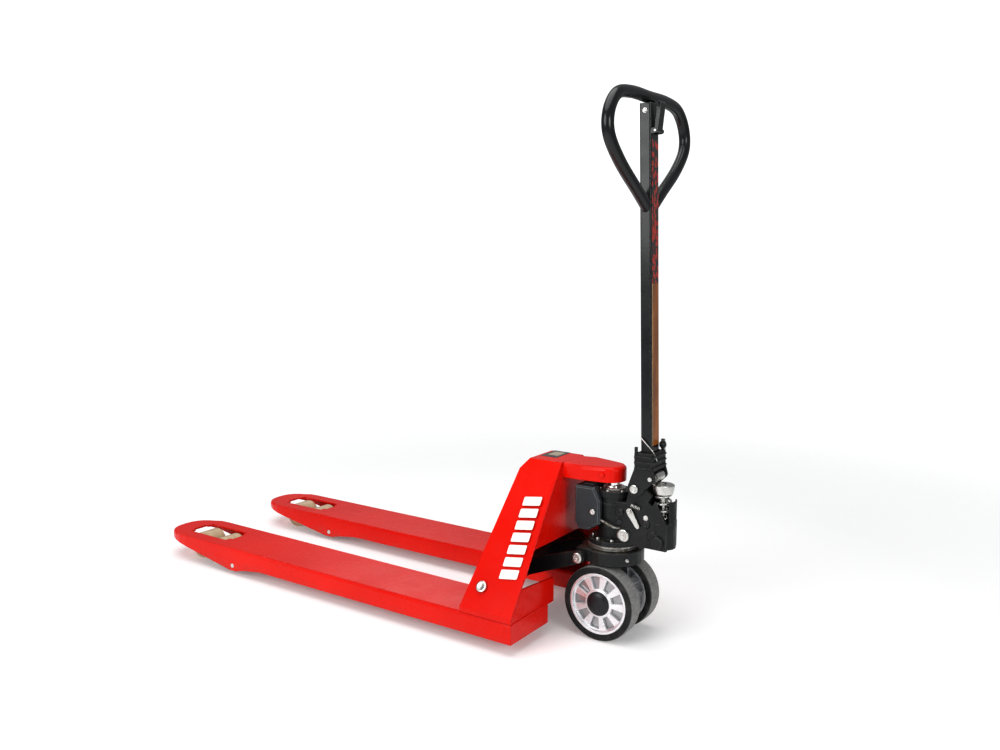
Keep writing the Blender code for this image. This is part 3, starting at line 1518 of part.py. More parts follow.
def make_hand_lever():
    """The release blade in the loop, and the two ears of the pole that hold its pin."""
    half = LEVER_BLADE_WIDTH / 2
    low = (LEVER_X, LEVER_Z)
    high = (LEVER_X + LEVER_BLADE_THICKNESS, LEVER_Z + LEVER_BLADE_LENGTH)
    radius = LEVER_BLADE_THICKNESS / 2
    outline = hull(circle(low, radius, 12), circle(high, radius, 12))
    bm = prism_mesh(outline, "y", -half, half)
    blade = tiller_piece(bm, "hand_lever", "black_paint", "hand_lever")
    start, end = (LEVER_X, -1, LEVER_Z), (LEVER_X, 1, LEVER_Z)
    bore = LEVER_PIN / 2 + FIT
    cut(blade, tiller_rod("lever_bore", "black_paint", start, end, bore, body="hand_lever"))
    pole = bpy.data.objects["handle_pole"]
    root = POLE_X + POLE_DEPTH / 2 - POLE_WALL / 2
    ear = hull(
        circle(low, LEVER_EAR_RADIUS, 12),
        [(root, LEVER_Z - LEVER_EAR_RADIUS), (root, LEVER_Z + LEVER_EAR_RADIUS)],
    )
    near = half + SIDE_PLAY
    far = near + LEVER_EAR_THICKNESS
    for side, sign in SIDES.items():
        bm = prism_mesh(ear, "y", sign * near, sign * far)
        weld(pole, tiller_piece(bm, "lever_ear_" + side, "black_paint"))
    cut(pole, tiller_rod("ear_bore", "black_paint", start, end, bore))
    start, end = (LEVER_X, -far, LEVER_Z), (LEVER_X, far, LEVER_Z)
    tiller_rod("lever_pin", "zinc", start, end, LEVER_PIN / 2, steps=12)


def build():
    clear_scene()
    make_empties()
    for side in SIDES:
        make_fork(side)
        make_side_plate(side)
        make_push_rod(side)
        make_roller_frame(side)
        make_bogie(side)
        make_wheel(side)
    make_head_walls()
    make_nose()
    make_rocker_shaft()
    make_rocker()
    make_base()
    make_pump_body()
    make_tank()
    make_pump_fittings()
    make_plunger()
    make_release_arm()
    make_bracket()
    make_tiller_bolts()
    make_pole()
    make_loop()
    make_hand_lever()


build()
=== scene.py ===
"""Looks of a hand pallet truck: finishes, fittings, floor, light and camera round its model.

Lengths are in metres in the row frame, with +X towards the handle and +Z up. Pieces of the
tiller are built upright, with the tiller's pivot at zero, and leaned with TILLER_SPACE.
"""

import json
import math

import bmesh
import bpy
from mathutils import Matrix, Vector, noise


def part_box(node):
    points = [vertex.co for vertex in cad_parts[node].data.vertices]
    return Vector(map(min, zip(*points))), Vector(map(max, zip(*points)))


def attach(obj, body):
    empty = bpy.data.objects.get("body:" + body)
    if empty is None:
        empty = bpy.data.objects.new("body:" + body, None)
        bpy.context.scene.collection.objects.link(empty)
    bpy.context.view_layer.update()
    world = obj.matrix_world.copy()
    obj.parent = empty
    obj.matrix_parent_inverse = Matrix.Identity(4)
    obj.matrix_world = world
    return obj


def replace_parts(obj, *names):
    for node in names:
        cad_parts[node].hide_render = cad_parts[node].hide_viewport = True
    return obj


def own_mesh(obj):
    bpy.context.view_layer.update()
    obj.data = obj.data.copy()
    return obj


# Floor and light: the floor is solid near the object and fades out into the background
FLOOR_RADIUS = 14
FLOOR_SOLID = 1.4
FLOOR_FADED = 3.4
FLOOR_GLOW = 0.13
AMBIENT = 0.27
SKY = (0.97, 0.98, 1, 1)
AIM = (0.1, 0, 0.2)

# Camera
CAMERA_PLACE = Vector((1.578, -1.904, 0.911))
CAMERA_AZIMUTH = math.radians(34.31)
CAMERA_PITCH = math.radians(7.75)
CAMERA_ROLL = math.radians(0.14)
CAMERA_LENS = 33.05

# Directions, clear coat, the gap under a fitting, and how close a weld's lumps come
LEFT = (0, -1, 0)
UP = (0, 0, 1)
COAT_ROUGHNESS = 0.12
GAP = 0.0002
LUMPS = 260

# Wheels: HUB_FACE and HUB_MIDDLE are a hub's outer face and middle, along Y
WHEEL_RADIUS = 0.090
RIM_RADIUS = 0.074
HUB_FACE = 0.078
HUB_MIDDLE = 0.053
HUB_BORE = 0.0127
HUB_RIBS = 9
RIB_HALF_ANGLE = math.radians(8.5)
RIB_WALL = 0.0016
POCKET_DEPTH = 0.009
BOSS_RADIUS = 0.0330
AXLE_CAP_RADIUS = 0.0290
TYRE_SHOULDER = 0.0065
TYRE_RING_PITCH = 5200.0
ROLLER_ROUNDING = 0.0045

# Head marks: plain blocks up the side plate, and an unlettered sticker on the top
HEAD_FOLD = 0.090
MARK_COUNT = 7
MARK_LOW = 0.160
MARK_HIGH = 0.336
MARK_REAR = 0.4295
MARK_FRONT = 0.4765
MARK_GAP = 0.0065
MARK_SLANT = 0.006
STICKER_LOW = Vector((0.4105, -0.016))
STICKER_HIGH = Vector((0.4565, 0.054))
FIELD_LOW = Vector((0.4190, 0.004))
FIELD_HIGH = Vector((0.4485, 0.044))
FIELD_EDGES = Vector((0.0005, 0.001))
FILM = 0.0003
FILM_LIFT = 0.0001

# Pole and loop, in the tiller's own frame
POLE_X = 0.0222
POLE_DEPTH = 0.028
POLE_WIDTH = 0.042
HANDLE_TOP = 0.889
LOOP_WIDTH = 0.420
LOOP_HEIGHT = 0.262
LOOP_TUBE = 0.027
POLE_SCREW_Z = 0.845
LEVER_SCREW_Z = 0.835
LABEL_HALF_WIDTH = 0.0165
LABEL_TOP = 0.783
LABEL_MIDDLE = 0.468
LABEL_LOW = 0.100

# Tiller bracket: the socket's half sizes and top, its ribs, and the cheeks' outer faces
SOCKET_X = 0.022
SOCKET_Y = 0.037
SOCKET_TOP = 0.083
SOCKET_RIBS = (0.047, 0.060, 0.073)
RIB_THICKNESS = 0.0025
RIB_HEIGHT = 0.005
BRACKET_SIDE = 0.0373

# Pump and base
COLLAR_TOP = 0.352
COLLAR_SCREWS = 0.0335
FLANGE_SCREWS = 0.0475
FLANGE_THICKNESS = 0.0106
BAND_RADIUS = 0.0350
BAND_HEIGHTS = (0.262, 0.316)
BLOCK_SIDE = -0.030
CUP_BOSS_Z = 0.250
RELEASE_PIVOT_Z = 0.313
LID_LOW = 0.014
LID_HIGH = 0.040
LID_INSET = 0.020
NIPPLE_TURN = math.radians(-38)
YOKE_HEAD = 0.0065

# Bosses on the pump block's left face: x, z, radius and height
BLOCK_BOSSES = (
    (0.640, 0.306, 0.0080, 0.0055),
    (0.638, 0.282, 0.0065, 0.0045),
    (0.706, 0.288, 0.0090, 0.0035),
    (0.722, 0.262, 0.0120, 0.0045),
)

# Plunger spring, and the depth of its cap's rim and skirt
SPRING_RADIUS = 0.0200
SPRING_WIRE = 0.0050
SPRING_TURNS = 5.5
CAP_RIM = 0.0085
CAP_SKIRT = 0.0235

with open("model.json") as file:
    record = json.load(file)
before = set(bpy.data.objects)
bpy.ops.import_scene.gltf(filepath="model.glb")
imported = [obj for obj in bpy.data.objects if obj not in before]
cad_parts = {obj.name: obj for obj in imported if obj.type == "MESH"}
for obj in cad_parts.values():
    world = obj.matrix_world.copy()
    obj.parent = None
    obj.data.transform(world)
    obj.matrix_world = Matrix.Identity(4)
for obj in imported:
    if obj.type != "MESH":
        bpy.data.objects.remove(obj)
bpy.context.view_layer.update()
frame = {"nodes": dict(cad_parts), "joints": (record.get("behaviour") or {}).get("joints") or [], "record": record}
NODES = frame["nodes"]
JOINTS = {joint["name"]: joint for joint in frame["joints"]}
SIDES = {"left": -1, "right": 1}
POLE_UP = Vector(JOINTS["pull_rod_slide"]["axis"]).normalized()
TILLER_PIVOT = Vector(JOINTS["tiller_pivot"]["pos_m"])
TILLER_SPACE = Matrix(
    (
        (POLE_UP.z, 0, POLE_UP.x, TILLER_PIVOT.x),
        (0, 1, 0, 0),
        (-POLE_UP.x, 0, POLE_UP.z, TILLER_PIVOT.z),
        (0, 0, 0, 1),
    )
)


def middle(node):
    low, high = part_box(node)
    return (low + high) / 2


def face_y(node, sign):
    """Where a node ends towards +Y or towards -Y."""
    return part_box(node)[1 if sign > 0 else 0].y


def around(angle, radius, z=0.0):
    """A point on a level circle."""
    return Vector((radius * math.cos(angle), radius * math.sin(angle), z))


# -------------------- finishes


class Finish:
    """A Principled material, with short calls for the nodes that give it detail."""

    def __init__(self, name, rounding=0.0015, metallic=0.0, coat=0.0, specular=0.5):
        self.material = bpy.data.materials.new(name)
        self.material.use_nodes = True
        self.tree = self.material.node_tree
        self.shader = self.tree.nodes["Principled BSDF"]
        settings = {
            "Metallic": metallic,
            "Coat Weight": coat,
            "Coat Roughness": COAT_ROUGHNESS,
            "Specular IOR Level": specular,
        }
        for socket, value in settings.items():
            self.shader.inputs[socket].default_value = value
        self.place = self.node("TexCoord").outputs["Object"]
        self.facing = self.node("NewGeometry").outputs["Normal"]
        self.rounded = self.node("Bevel", {"Radius": rounding}, samples=4).outputs["Normal"]

    def node(self, kind, inputs=None, **settings):
        """Adds a shader node; inputs holds a value or an output for each socket."""
        made = self.tree.nodes.new("ShaderNode" + kind)
        for name, value in settings.items():
            setattr(made, name, value)
        for socket, value in (inputs or {}).items():
            self.feed(made.inputs[socket], value)
        return made

    def feed(self, socket, value):
        """Links an output to a socket, or sets the socket to a plain value."""
        if isinstance(value, bpy.types.NodeSocket):
            self.tree.links.new(value, socket)
        elif isinstance(value, tuple) and socket.type == "RGBA":
            socket.default_value = (*value, 1)
        else:
            socket.default_value = value

    def maths(self, operation, first, second=0.0, clamp=True):
        inputs = {0: first, 1: second}
        return self.node("Math", inputs, operation=operation, use_clamp=clamp).outputs[0]

    def times(self, first, second):
        return self.maths("MULTIPLY", first, second)

    def vectors(self, operation, first, second=(0, 0, 0)):
        return self.node("VectorMath", {0: first, 1: second}, operation=operation)

    def span(self, value, low, high, out_low=0.0, out_high=1.0):
        """Maps low..high onto out_low..out_high, and holds those beyond."""
        inputs = {"Value": value, "From Min": low, "From Max": high}
        inputs |= {"To Min": out_low, "To Max": out_high}
        return self.node("MapRange", inputs).outputs["Result"]

    def stretched(self, scale):
        """The place, scaled by a factor along each axis."""
        return self.node("Mapping", {"Vector": self.place, "Scale": scale}).outputs["Vector"]

    def noise(self, scale, detail=4.0, roughness=0.55, stretch=None):
        place = self.stretched(stretch) if stretch else self.place
        inputs = {"Vector": place, "Scale": scale, "Detail": detail, "Roughness": roughness}
        return self.node("TexNoise", inputs).outputs["Fac"]

    def mix(self, share, first, second):
        """Mixes two colours."""
        return self.node("Mix", {0: share, 6: first, 7: second}, data_type="RGBA").outputs[2]

    def axis(self, vector, letter):
        return self.node("SeparateXYZ", {0: vector}).outputs[letter]

    def upward(self, low=0.6, high=0.95):
        """1 on faces that look up."""
        return self.span(self.axis(self.facing, "Z"), low, high)

    def edges(self):
        """1 along sharp edges, from how far a rounded normal turns away from the face's own."""
        dot = self.vectors("DOT_PRODUCT", self.rounded, self.facing)
        return self.span(dot.outputs["Value"], 0.99, 0.88)

    def worn(self, scale=60.0, low=0.42, high=0.62):
        """Edges broken up by noise, as paint wears off them."""
        return self.times(self.edges(), self.span(self.noise(scale, 6, 0.65), low, high))

    def reach(self, centre, mask):
        """Distance from a centre, counted only along the axes that the mask keeps."""
        away = self.vectors("SUBTRACT", self.place, centre)
        flat = self.vectors("MULTIPLY", away.outputs[0], mask)
        return self.vectors("LENGTH", flat.outputs[0]).outputs["Value"]

    def bump(self, height, strength, distance, under=None):
        inputs = {"Strength": strength, "Distance": distance, "Height": height}
        inputs["Normal"] = under or self.rounded
        return self.node("Bump", inputs).outputs["Normal"]

    def tint(self, tone, mask, strength, colour):
        """Lays a colour over the tone where the mask is."""
        return self.mix(self.times(mask, strength), tone, colour)

    def uneven(self, scale, detail, out_low, out_high):
        """A value that drifts between two limits over the surface."""
        return self.span(self.noise(scale, detail), 0.3, 0.7, out_low, out_high)

    def done(self, colour, roughness=None, normal=None, metallic=None):
        given = {"Base Color": colour, "Roughness": roughness}
        given |= {"Normal": normal, "Metallic": metallic}
        for socket, value in given.items():
            if value is not None:
                self.feed(self.shader.inputs[socket], value)
        return self.material


def red_paint():
    """Glossy powder coat: slight orange peel, rubbed lines along the decks, dust low down."""
    f = Finish("red_paint", 0.0022, coat=0.07, specular=0.16)
    tone = f.mix(f.span(f.noise(3.5, 3), 0.3, 0.7), (0.73, 0.009, 0.002), (0.63, 0.006, 0.001))
    grime = f.span(f.noise(22, 9, 0.7), 0.57, 0.77)
    tone = f.tint(tone, grime, 0.20, (0.26, 0.016, 0.010))
    lines = f.span(f.noise(1.0, 5, 0.7, stretch=(3, 260, 60)), 0.60, 0.70)
    rubbed = f.times(lines, f.span(f.noise(5, 3), 0.45, 0.62))
    rubbed = f.times(rubbed, f.upward())
    tone = f.tint(tone, rubbed, 0.40, (0.42, 0.09, 0.07))
    low = f.span(f.axis(f.place, "Z"), 0.050, 0.022)
    dust = f.times(low, f.span(f.noise(30, 6), 0.35, 0.75))
    tone = f.tint(tone, dust, 0.45, (0.22, 0.060, 0.040))
    chips = f.worn(85, 0.60, 0.68)
    tone = f.tint(tone, chips, 0.75, (0.085, 0.030, 0.026))
    rough = f.uneven(11, 5, 0.20, 0.34)
    rough = f.maths("ADD", rough, f.times(rubbed, 0.30))
    waves = f.bump(f.noise(7, 2), 0.10, 0.004)
    peel = f.bump(f.noise(420, 2), 0.05, 0.0006, waves)
    return f.done(tone, rough, peel)


def black_casting():
    """Painted iron casting: sandy skin, bare edges and greasy dust on top."""
    f = Finish("black_casting", 0.0022, specular=0.30)
    tone = f.mix(f.noise(24, 5), (0.006, 0.0065, 0.007), (0.020, 0.021, 0.022))
    settled = f.times(f.upward(0.4, 0.9), f.span(f.noise(45, 7), 0.42, 0.66))
    tone = f.tint(tone, settled, 0.60, (0.085, 0.070, 0.050))
    bare = f.worn(110, 0.40, 0.60)
    tone = f.tint(tone, bare, 0.55, (0.17, 0.17, 0.165))
    rough = f.span(f.noise(16, 6, 0.65), 0.35, 0.65, 0.26, 0.58)
    skin = f.bump(f.noise(150, 6, 0.6), 0.45, 0.0012)
    grain = f.bump(f.noise(850, 3), 0.22, 0.0005, skin)
    return f.done(tone, rough, grain)


def black_paint():
    """Smooth black enamel with fine handling scratches and rubbed edges."""
    f = Finish("black_paint", coat=0.26, specular=0.28)
    tone = f.mix(f.noise(14, 4), (0.005, 0.0055, 0.006), (0.013, 0.014, 0.015))
    scratches = f.span(f.noise(1.0, 4, 0.7, stretch=(420, 420, 9)), 0.64, 0.72)
    scratches = f.times(scratches, f.span(f.noise(9, 3), 0.46, 0.60))
    tone = f.tint(tone, scratches, 0.35, (0.12, 0.12, 0.12))
    tone = f.tint(tone, f.worn(90, 0.30, 0.48), 0.80, (0.36, 0.36, 0.35))
    rough = f.uneven(18, 5, 0.20, 0.36)
    rough = f.maths("ADD", rough, f.times(scratches, 0.25))
    return f.done(tone, rough, f.bump(f.noise(500, 2), 0.05, 0.0005))


def grey_tank():
    """Dark grey cast tank: fine sandy skin, and light corners that are partly rubbed wear and partly a painted
    highlight.
    """
    f = Finish("grey_tank", specular=0.30)
    tone = f.mix(f.noise(18, 5), (0.020, 0.024, 0.028), (0.042, 0.047, 0.052))
    oil = f.span(f.noise(1.0, 5, 0.6, stretch=(60, 60, 12)), 0.56, 0.70)
    tone = f.tint(tone, oil, 0.5, (0.022, 0.021, 0.019))
    # Light corners: partly rubbed wear, partly a painted highlight along the edges.
    bare = f.worn(90, 0.30, 0.50)
    tone = f.tint(tone, bare, 0.85, (0.42, 0.43, 0.43))
    rough = f.span(f.noise(25, 6), 0.35, 0.65, 0.36, 0.58)
    grain = f.bump(f.noise(620, 4), 0.20, 0.0006, f.bump(f.noise(120, 4), 0.16, 0.0010))
    return f.done(tone, rough, grain)


def zinc():
    """Bright zinc plate, a little cloudy and yellowed, with dirt in its low spots."""
    f = Finish("zinc", 0.0006, metallic=1.0)
    tone = f.mix(f.noise(60, 5), (0.74, 0.74, 0.73), (0.52, 0.51, 0.47))
    dirt = f.span(f.noise(180, 7, 0.7), 0.58, 0.74)
    tone = f.tint(tone, dirt, 0.55, (0.13, 0.11, 0.085))
    rough = f.span(f.noise(90, 6), 0.35, 0.65, 0.22, 0.44)
    return f.done(tone, rough, f.bump(f.noise(900, 3), 0.08, 0.0003))


def bearing_steel():
    """Ground steel under old grease."""
    f = Finish("bearing_steel", 0.0008, metallic=0.85)
    grease = f.span(f.noise(95, 7, 0.65), 0.40, 0.62)
    tone = f.mix(grease, (0.42, 0.41, 0.39), (0.085, 0.070, 0.050))
    rough = f.uneven(70, 5, 0.24, 0.52)
    metal = f.span(grease, 0.0, 1.0, 0.95, 0.25)
    return f.done(tone, rough, f.bump(f.noise(240, 5), 0.25, 0.0010), metal)


def chrome():
    """Hard chrome with a thin oil film and faint lines along the stroke."""
    f = Finish("chrome", 0.0006, metallic=1.0)
    film = f.span(f.noise(1.0, 4, 0.6, stretch=(150, 150, 16)), 0.5, 0.72)
    tone = f.mix(f.times(film, 0.30), (0.84, 0.84, 0.85), (0.42, 0.38, 0.30))
    rough = f.span(f.noise(1.0, 3, 0.6, stretch=(900, 900, 14)), 0.4, 0.7, 0.06, 0.20)
    return f.done(tone, rough)


def hub_alloy():
    """Die-cast alloy: satin faces, a finer machined lip and painted shade in the pockets."""
    f = Finish("hub_alloy", 0.0008, metallic=0.70)
    tone = f.mix(f.noise(45, 5), (0.86, 0.87, 0.89), (0.74, 0.75, 0.77))
    away = f.maths("ABSOLUTE", f.axis(f.place, "Y"))
    # Painted shade: the pockets between the ribs are coloured darker, where shade falls in them.
    sunk = f.span(away, HUB_FACE - 0.0115, HUB_FACE - 0.0150)
    sunk = f.times(sunk, f.span(away, HUB_MIDDLE, HUB_MIDDLE + 0.004))
    tone = f.tint(tone, sunk, 0.80, (0.30, 0.30, 0.31))
    dust = f.span(f.noise(120, 7, 0.7), 0.52, 0.72)
    tone = f.tint(tone, dust, 0.35, (0.24, 0.23, 0.21))
    rough = f.uneven(80, 5, 0.26, 0.42)
    return f.done(tone, rough, f.bump(f.noise(700, 4), 0.14, 0.0004))


def tyre_rubber():
    """Black rubber with fine turned rings on its sides, and a light grey tread that is partly dust and scuffs and
    partly a painted reflection.
    """
    f = Finish("tyre_rubber", 0.0010, specular=0.30)
    reach = f.reach(JOINTS["wheel_left_spin"]["pos_m"], (1, 0, 1))
    tread = f.span(reach, WHEEL_RADIUS - 0.0024, WHEEL_RADIUS - 0.0006)
    side = f.mix(f.noise(40, 6), (0.007, 0.007, 0.008), (0.018, 0.018, 0.018))
    streaks = f.noise(1.0, 7, 0.7, stretch=(420, 70, 420))
    # The tread's light grey is partly dust and scuff streaks and partly a painted reflection along the tread.
    worn = f.mix(f.span(streaks, 0.30, 0.70), (0.12, 0.12, 0.12), (0.31, 0.305, 0.295))
    smudge = f.times(f.span(f.noise(26, 6), 0.50, 0.70), 0.25)
    tone = f.mix(tread, f.mix(smudge, side, (0.13, 0.125, 0.115)), worn)
    rough = f.uneven(60, 5, 0.58, 0.80)
    pitch = f.maths("MULTIPLY", reach, TYRE_RING_PITCH, clamp=False)
    rings = f.bump(f.maths("SINE", pitch, clamp=False), 0.10, 0.0003)
    return f.done(tone, rough, f.bump(f.noise(380, 5), 0.25, 0.0006, rings))


def roller_urethane():
    """Tan polyurethane, rubbed darker round the roller and darker along its edges."""
    f = Finish("roller_urethane", 0.0025, coat=0.10)
    tone = f.mix(f.noise(35, 5), (0.62, 0.47, 0.30), (0.45, 0.32, 0.19))
    bands = f.span(f.noise(1.0, 5, 0.65, stretch=(7, 240, 7)), 0.46, 0.70)
    tone = f.tint(tone, bands, 0.55, (0.20, 0.15, 0.10))
    # Darker along the roller's edges and ends.
    tone = f.tint(tone, f.edges(), 0.6, (0.10, 0.085, 0.065))
    rough = f.uneven(50, 5, 0.34, 0.58)
    return f.done(tone, rough, f.bump(f.noise(300, 5), 0.20, 0.0005))


def cap_plastic():
    """Moulded black plastic with a fine matt grain."""
    f = Finish("cap_plastic", 0.0010, specular=0.35)
    tone = f.mix(f.noise(70, 5), (0.007, 0.008, 0.010), (0.018, 0.020, 0.023))
    tone = f.tint(tone, f.worn(160), 0.4, (0.16, 0.16, 0.16))
    rough = f.uneven(110, 4, 0.26, 0.42)
    return f.done(tone, rough, f.bump(f.noise(1300, 2), 0.12, 0.0002))


def white_film():
    """White vinyl on the red plate, slightly yellowed and scuffed."""
    f = Finish("white_film", 0.0003, coat=0.2)
    tone = f.mix(f.noise(40, 5), (0.86, 0.85, 0.82), (0.78, 0.76, 0.71))
    scuffs = f.span(f.noise(140, 8, 0.7), 0.66, 0.74)
    tone = f.tint(tone, scuffs, 0.6, (0.62, 0.20, 0.15))
    return f.done(tone, f.uneven(60, 4, 0.28, 0.46))


def sticker_film():
    """A dark unlettered sticker with a beige field."""
    f = Finish("sticker_film", 0.0003, coat=0.2)
    inner = 1.0
    for letter, low, high, edge in zip("XY", FIELD_LOW, FIELD_HIGH, FIELD_EDGES):
        along = f.axis(f.place, letter)
        inner = f.times(inner, f.span(along, low, low + edge))
        inner = f.times(inner, f.span(along, high, high - edge))
    dark = f.mix(f.noise(60, 4), (0.016, 0.016, 0.017), (0.040, 0.038, 0.036))
    pale = f.mix(f.noise(90, 5), (0.46, 0.38, 0.28), (0.34, 0.27, 0.19))
    return f.done(f.mix(inner, dark, pale), f.uneven(70, 4, 0.28, 0.5))


def upper_label():
    """Red printed film over black: broken blocks that carry no letters."""
    f = Finish("upper_label", 0.0003, coat=0.25)
    inputs = {"Scale": 1.0, "Vector": f.stretched((10, 120, 70))}
    blocks = f.node("TexVoronoi", inputs, distance="CHEBYCHEV")
    inked = f.span(blocks.outputs["Distance"], 0.40, 0.36)
    red = f.mix(f.noise(60, 4), (0.56, 0.035, 0.014), (0.34, 0.018, 0.010))
    black = f.mix(f.noise(50, 4), (0.014, 0.013, 0.013), (0.034, 0.028, 0.026))
    return f.done(f.mix(inked, black, red), f.uneven(60, 4, 0.26, 0.42))


def lower_label():
    """Faded orange film, browner towards its ends, with a painted highlight along its -Y edge."""
    f = Finish("lower_label", 0.0003, coat=0.25)
    cloud = f.noise(1.0, 4, 0.55, stretch=(30, 30, 7))
    tone = f.mix(f.span(cloud, 0.35, 0.65), (0.34, 0.110, 0.018), (0.15, 0.050, 0.014))
    # Painted highlight: a pale stripe along the film's -Y edge, where the pole's corner catches the light.
    rim = f.span(f.axis(f.place, "Y"), 0.0016 - LABEL_HALF_WIDTH, 0.0010 - LABEL_HALF_WIDTH)
    tone = f.mix(rim, tone, (0.72, 0.46, 0.22))
    stains = f.span(f.noise(90, 7, 0.7), 0.58, 0.70)
    tone = f.tint(tone, stains, 0.5, (0.09, 0.045, 0.025))
    return f.done(tone, f.uneven(60, 4, 0.26, 0.42))


def floor_paint():
    """Pale matt floor that thins out into the background far from the object."""
    f = Finish("floor")
    tone = f.mix(f.noise(0.8, 3), (0.92, 0.92, 0.92), (0.90, 0.90, 0.90))
    rough = f.uneven(3, 3, 0.80, 0.90)
    fade = f.span(f.reach((AIM[0], 0, 0), (1, 1, 0)), FLOOR_FADED, FLOOR_SOLID)
    f.feed(f.shader.inputs["Alpha"], fade)
    f.shader.inputs["Emission Color"].default_value = (1, 1, 1, 1)
    f.shader.inputs["Emission Strength"].default_value = FLOOR_GLOW
    return f.done(tone, rough)


# -------------------- meshes


def add_piece(bm, name, finish, body, space=None, sharp=30):
    """Turns a bmesh into a piece that rides on a body. Its slot is its finish."""
    bmesh.ops.recalc_face_normals(bm, faces=bm.faces)
    if space:
        bmesh.ops.transform(bm, matrix=space, verts=bm.verts)
    mesh = bpy.data.meshes.new(name)
    bm.to_mesh(mesh)
    bm.free()
    mesh.shade_smooth()
    mesh.set_sharp_from_angle(angle=math.radians(sharp))
    mesh.materials.append(FINISHES[finish])
    obj = bpy.data.objects.new(name, mesh)
    bpy.context.collection.objects.link(obj)
    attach(obj, body)
    return obj


def soften(obj, width):
    """Rounds the sharp edges of a piece."""
    rounding = obj.modifiers.new("rounding", "BEVEL")
    rounding.width = width
    rounding.segments = 2
    rounding.limit_method = "ANGLE"
    rounding.angle_limit = math.radians(35)
    return obj


def bridge(bm, first, second):
    """Joins two rings of points; a ring of one repeated point closes to a tip."""
    for index in range(len(first)):
        after = (index + 1) % len(first)
        corners = [first[index], first[after], second[after], second[index]]
        bm.faces.new(list(dict.fromkeys(corners)))


def lathe_mesh(profile, seat, direction, steps):
    """A turned solid: profile holds (distance along the direction, radius) from end to end."""
    bm = bmesh.new()
    turn = Vector(UP).rotation_difference(Vector(direction)).to_matrix().to_4x4()
    place = Matrix.Translation(Vector(seat)) @ turn
    rings = []
    for distance, radius in profile:
        if radius == 0:
            ring = [bm.verts.new(place @ Vector((0, 0, distance)))] * steps
        else:
            angles = [math.tau * step / steps for step in range(steps)]
            ring = [bm.verts.new(place @ around(angle, radius, distance)) for angle in angles]
        rings.append(ring)
    for first, second in zip(rings, rings[1:]):
        bridge(bm, first, second)
    if profile[0][1] > 0:
        bridge(bm, rings[-1], rings[0])
    return bm


def turned(name, finish, body, profile, seat, direction, steps=40, space=None):
    """A turned piece on a body."""
    bm = lathe_mesh(profile, seat, direction, steps)
    return add_piece(bm, name, finish, body, space)


def mirrored(half, width):
    """A whole profile of this width from its first half."""
    return half + [(width - along, radius) for along, radius in reversed(half)]


def tube(name, finish, body, points, radius, sides, space=None, uneven=0.0):
    """A closed tube along the points, on a body; uneven gives it a weld bead's lumps."""
    bm = bmesh.new()
    rings = []
    up = None
    for index, point in enumerate(points):
        before = points[max(index - 1, 0)]
        after = points[min(index + 1, len(points) - 1)]
        along = (after - before).normalized()
        up = (up or along.orthogonal()).normalized()
        up = (up - along * up.dot(along)).normalized()
        across = along.cross(up)
        thick = radius * (1 + uneven * noise.noise(point * LUMPS))
        ring = []
        for step in range(sides):
            angle = math.tau * step / sides
            spot = point + (up * math.cos(angle) + across * math.sin(angle)) * thick
            ring.append(bm.verts.new(spot))
        rings.append(ring)
    for first, second in zip(rings, rings[1:]):
        bridge(bm, first, second)
    bm.faces.new(rings[0])
    bm.faces.new(rings[-1])
    return add_piece(bm, name, finish, body, space, 60)


def smooth_route(knots, steps):
    """Points on a Catmull-Rom curve through the knots."""
    knots = [Vector(knot) for knot in knots]
    ends = [knots[0] * 2 - knots[1]] + knots + [knots[-1] * 2 - knots[-2]]
    points = []
    for a, b, c, d in zip(ends, ends[1:], ends[2:], ends[3:]):
        for step in range(steps):
            t = step / steps
            square = a * 2 - b * 5 + c * 4 - d
            cube = b * 3 - a - c * 3 + d
            points.append((b * 2 + (c - a) * t + square * t**2 + cube * t**3) / 2)
    return points + [knots[-1]]


def slab_mesh(corners, offset):
    """A plate: one face has these corners, and the other lies the offset away."""
    bm = bmesh.new()
    low = [bm.verts.new(corner) for corner in corners]
    high = [bm.verts.new(Vector(corner) + offset) for corner in corners]
    bm.faces.new(low)
    bm.faces.new(high)
    bridge(bm, low, high)
    return bm


def block_mesh(low, high):
    """A box between two corners."""
    rear, left, foot = low
    front, right, top = high
    corners = [(rear, left, foot), (front, left, foot), (front, right, foot), (rear, right, foot)]
    return slab_mesh(corners, Vector((0, 0, top - foot)))


def hex_screw(name, body, seat, direction, width, height, space=None):
    """A hexagon head on a washer."""
    half = width / 2
    edge = height * 0.22
    washer = height * 0.28
    flat = [(0, 0), (0, half * 1.25), (washer, half * 1.25), (washer, half * 0.90), (washer, 0)]
    hexagon = [(washer, 0), (washer * 1.02, half), (height - edge, half), (height, half - edge)]
    bm = lathe_mesh(flat, seat, direction, 24)
    head = lathe_mesh(hexagon + [(height, 0)], seat, direction, 6)
    joined = bpy.data.meshes.new("joined")
    head.to_mesh(joined)
    head.free()
    bm.from_mesh(joined)
    bpy.data.meshes.remove(joined)
    return soften(add_piece(bm, name, "zinc", body, space, 25), 0.0003)


def ring_of_screws(name, centre, reach, count, width, height):
    """Screws set evenly round a centre, the first half a step off +X."""
    for index in range(count):
        seat = centre + around(math.tau * (index + 0.5) / count, reach)
        hex_screw(f"{name}_{index}", "pump", seat, UP, width, height)


def pin_head(name, body, seat, direction, radius, height, space=None, sink=0.0, finish="zinc"):
    """A turned pin end with a rounded rim, a shallow groove and a centre mark."""
    edge = height * 0.30
    groove = height - edge * 0.25
    profile = [(-sink, 0), (-sink, radius), (height - edge, radius)]
    profile += [(height - edge * 0.3, radius - edge * 0.3), (height, radius - edge)]
    profile += [(height, radius * 0.56), (groove, radius * 0.50), (groove, radius * 0.18)]
    profile += [(height - edge, 0)]
    return turned(name, finish, body, profile, seat, direction, 40, space)


# -------------------- wheels


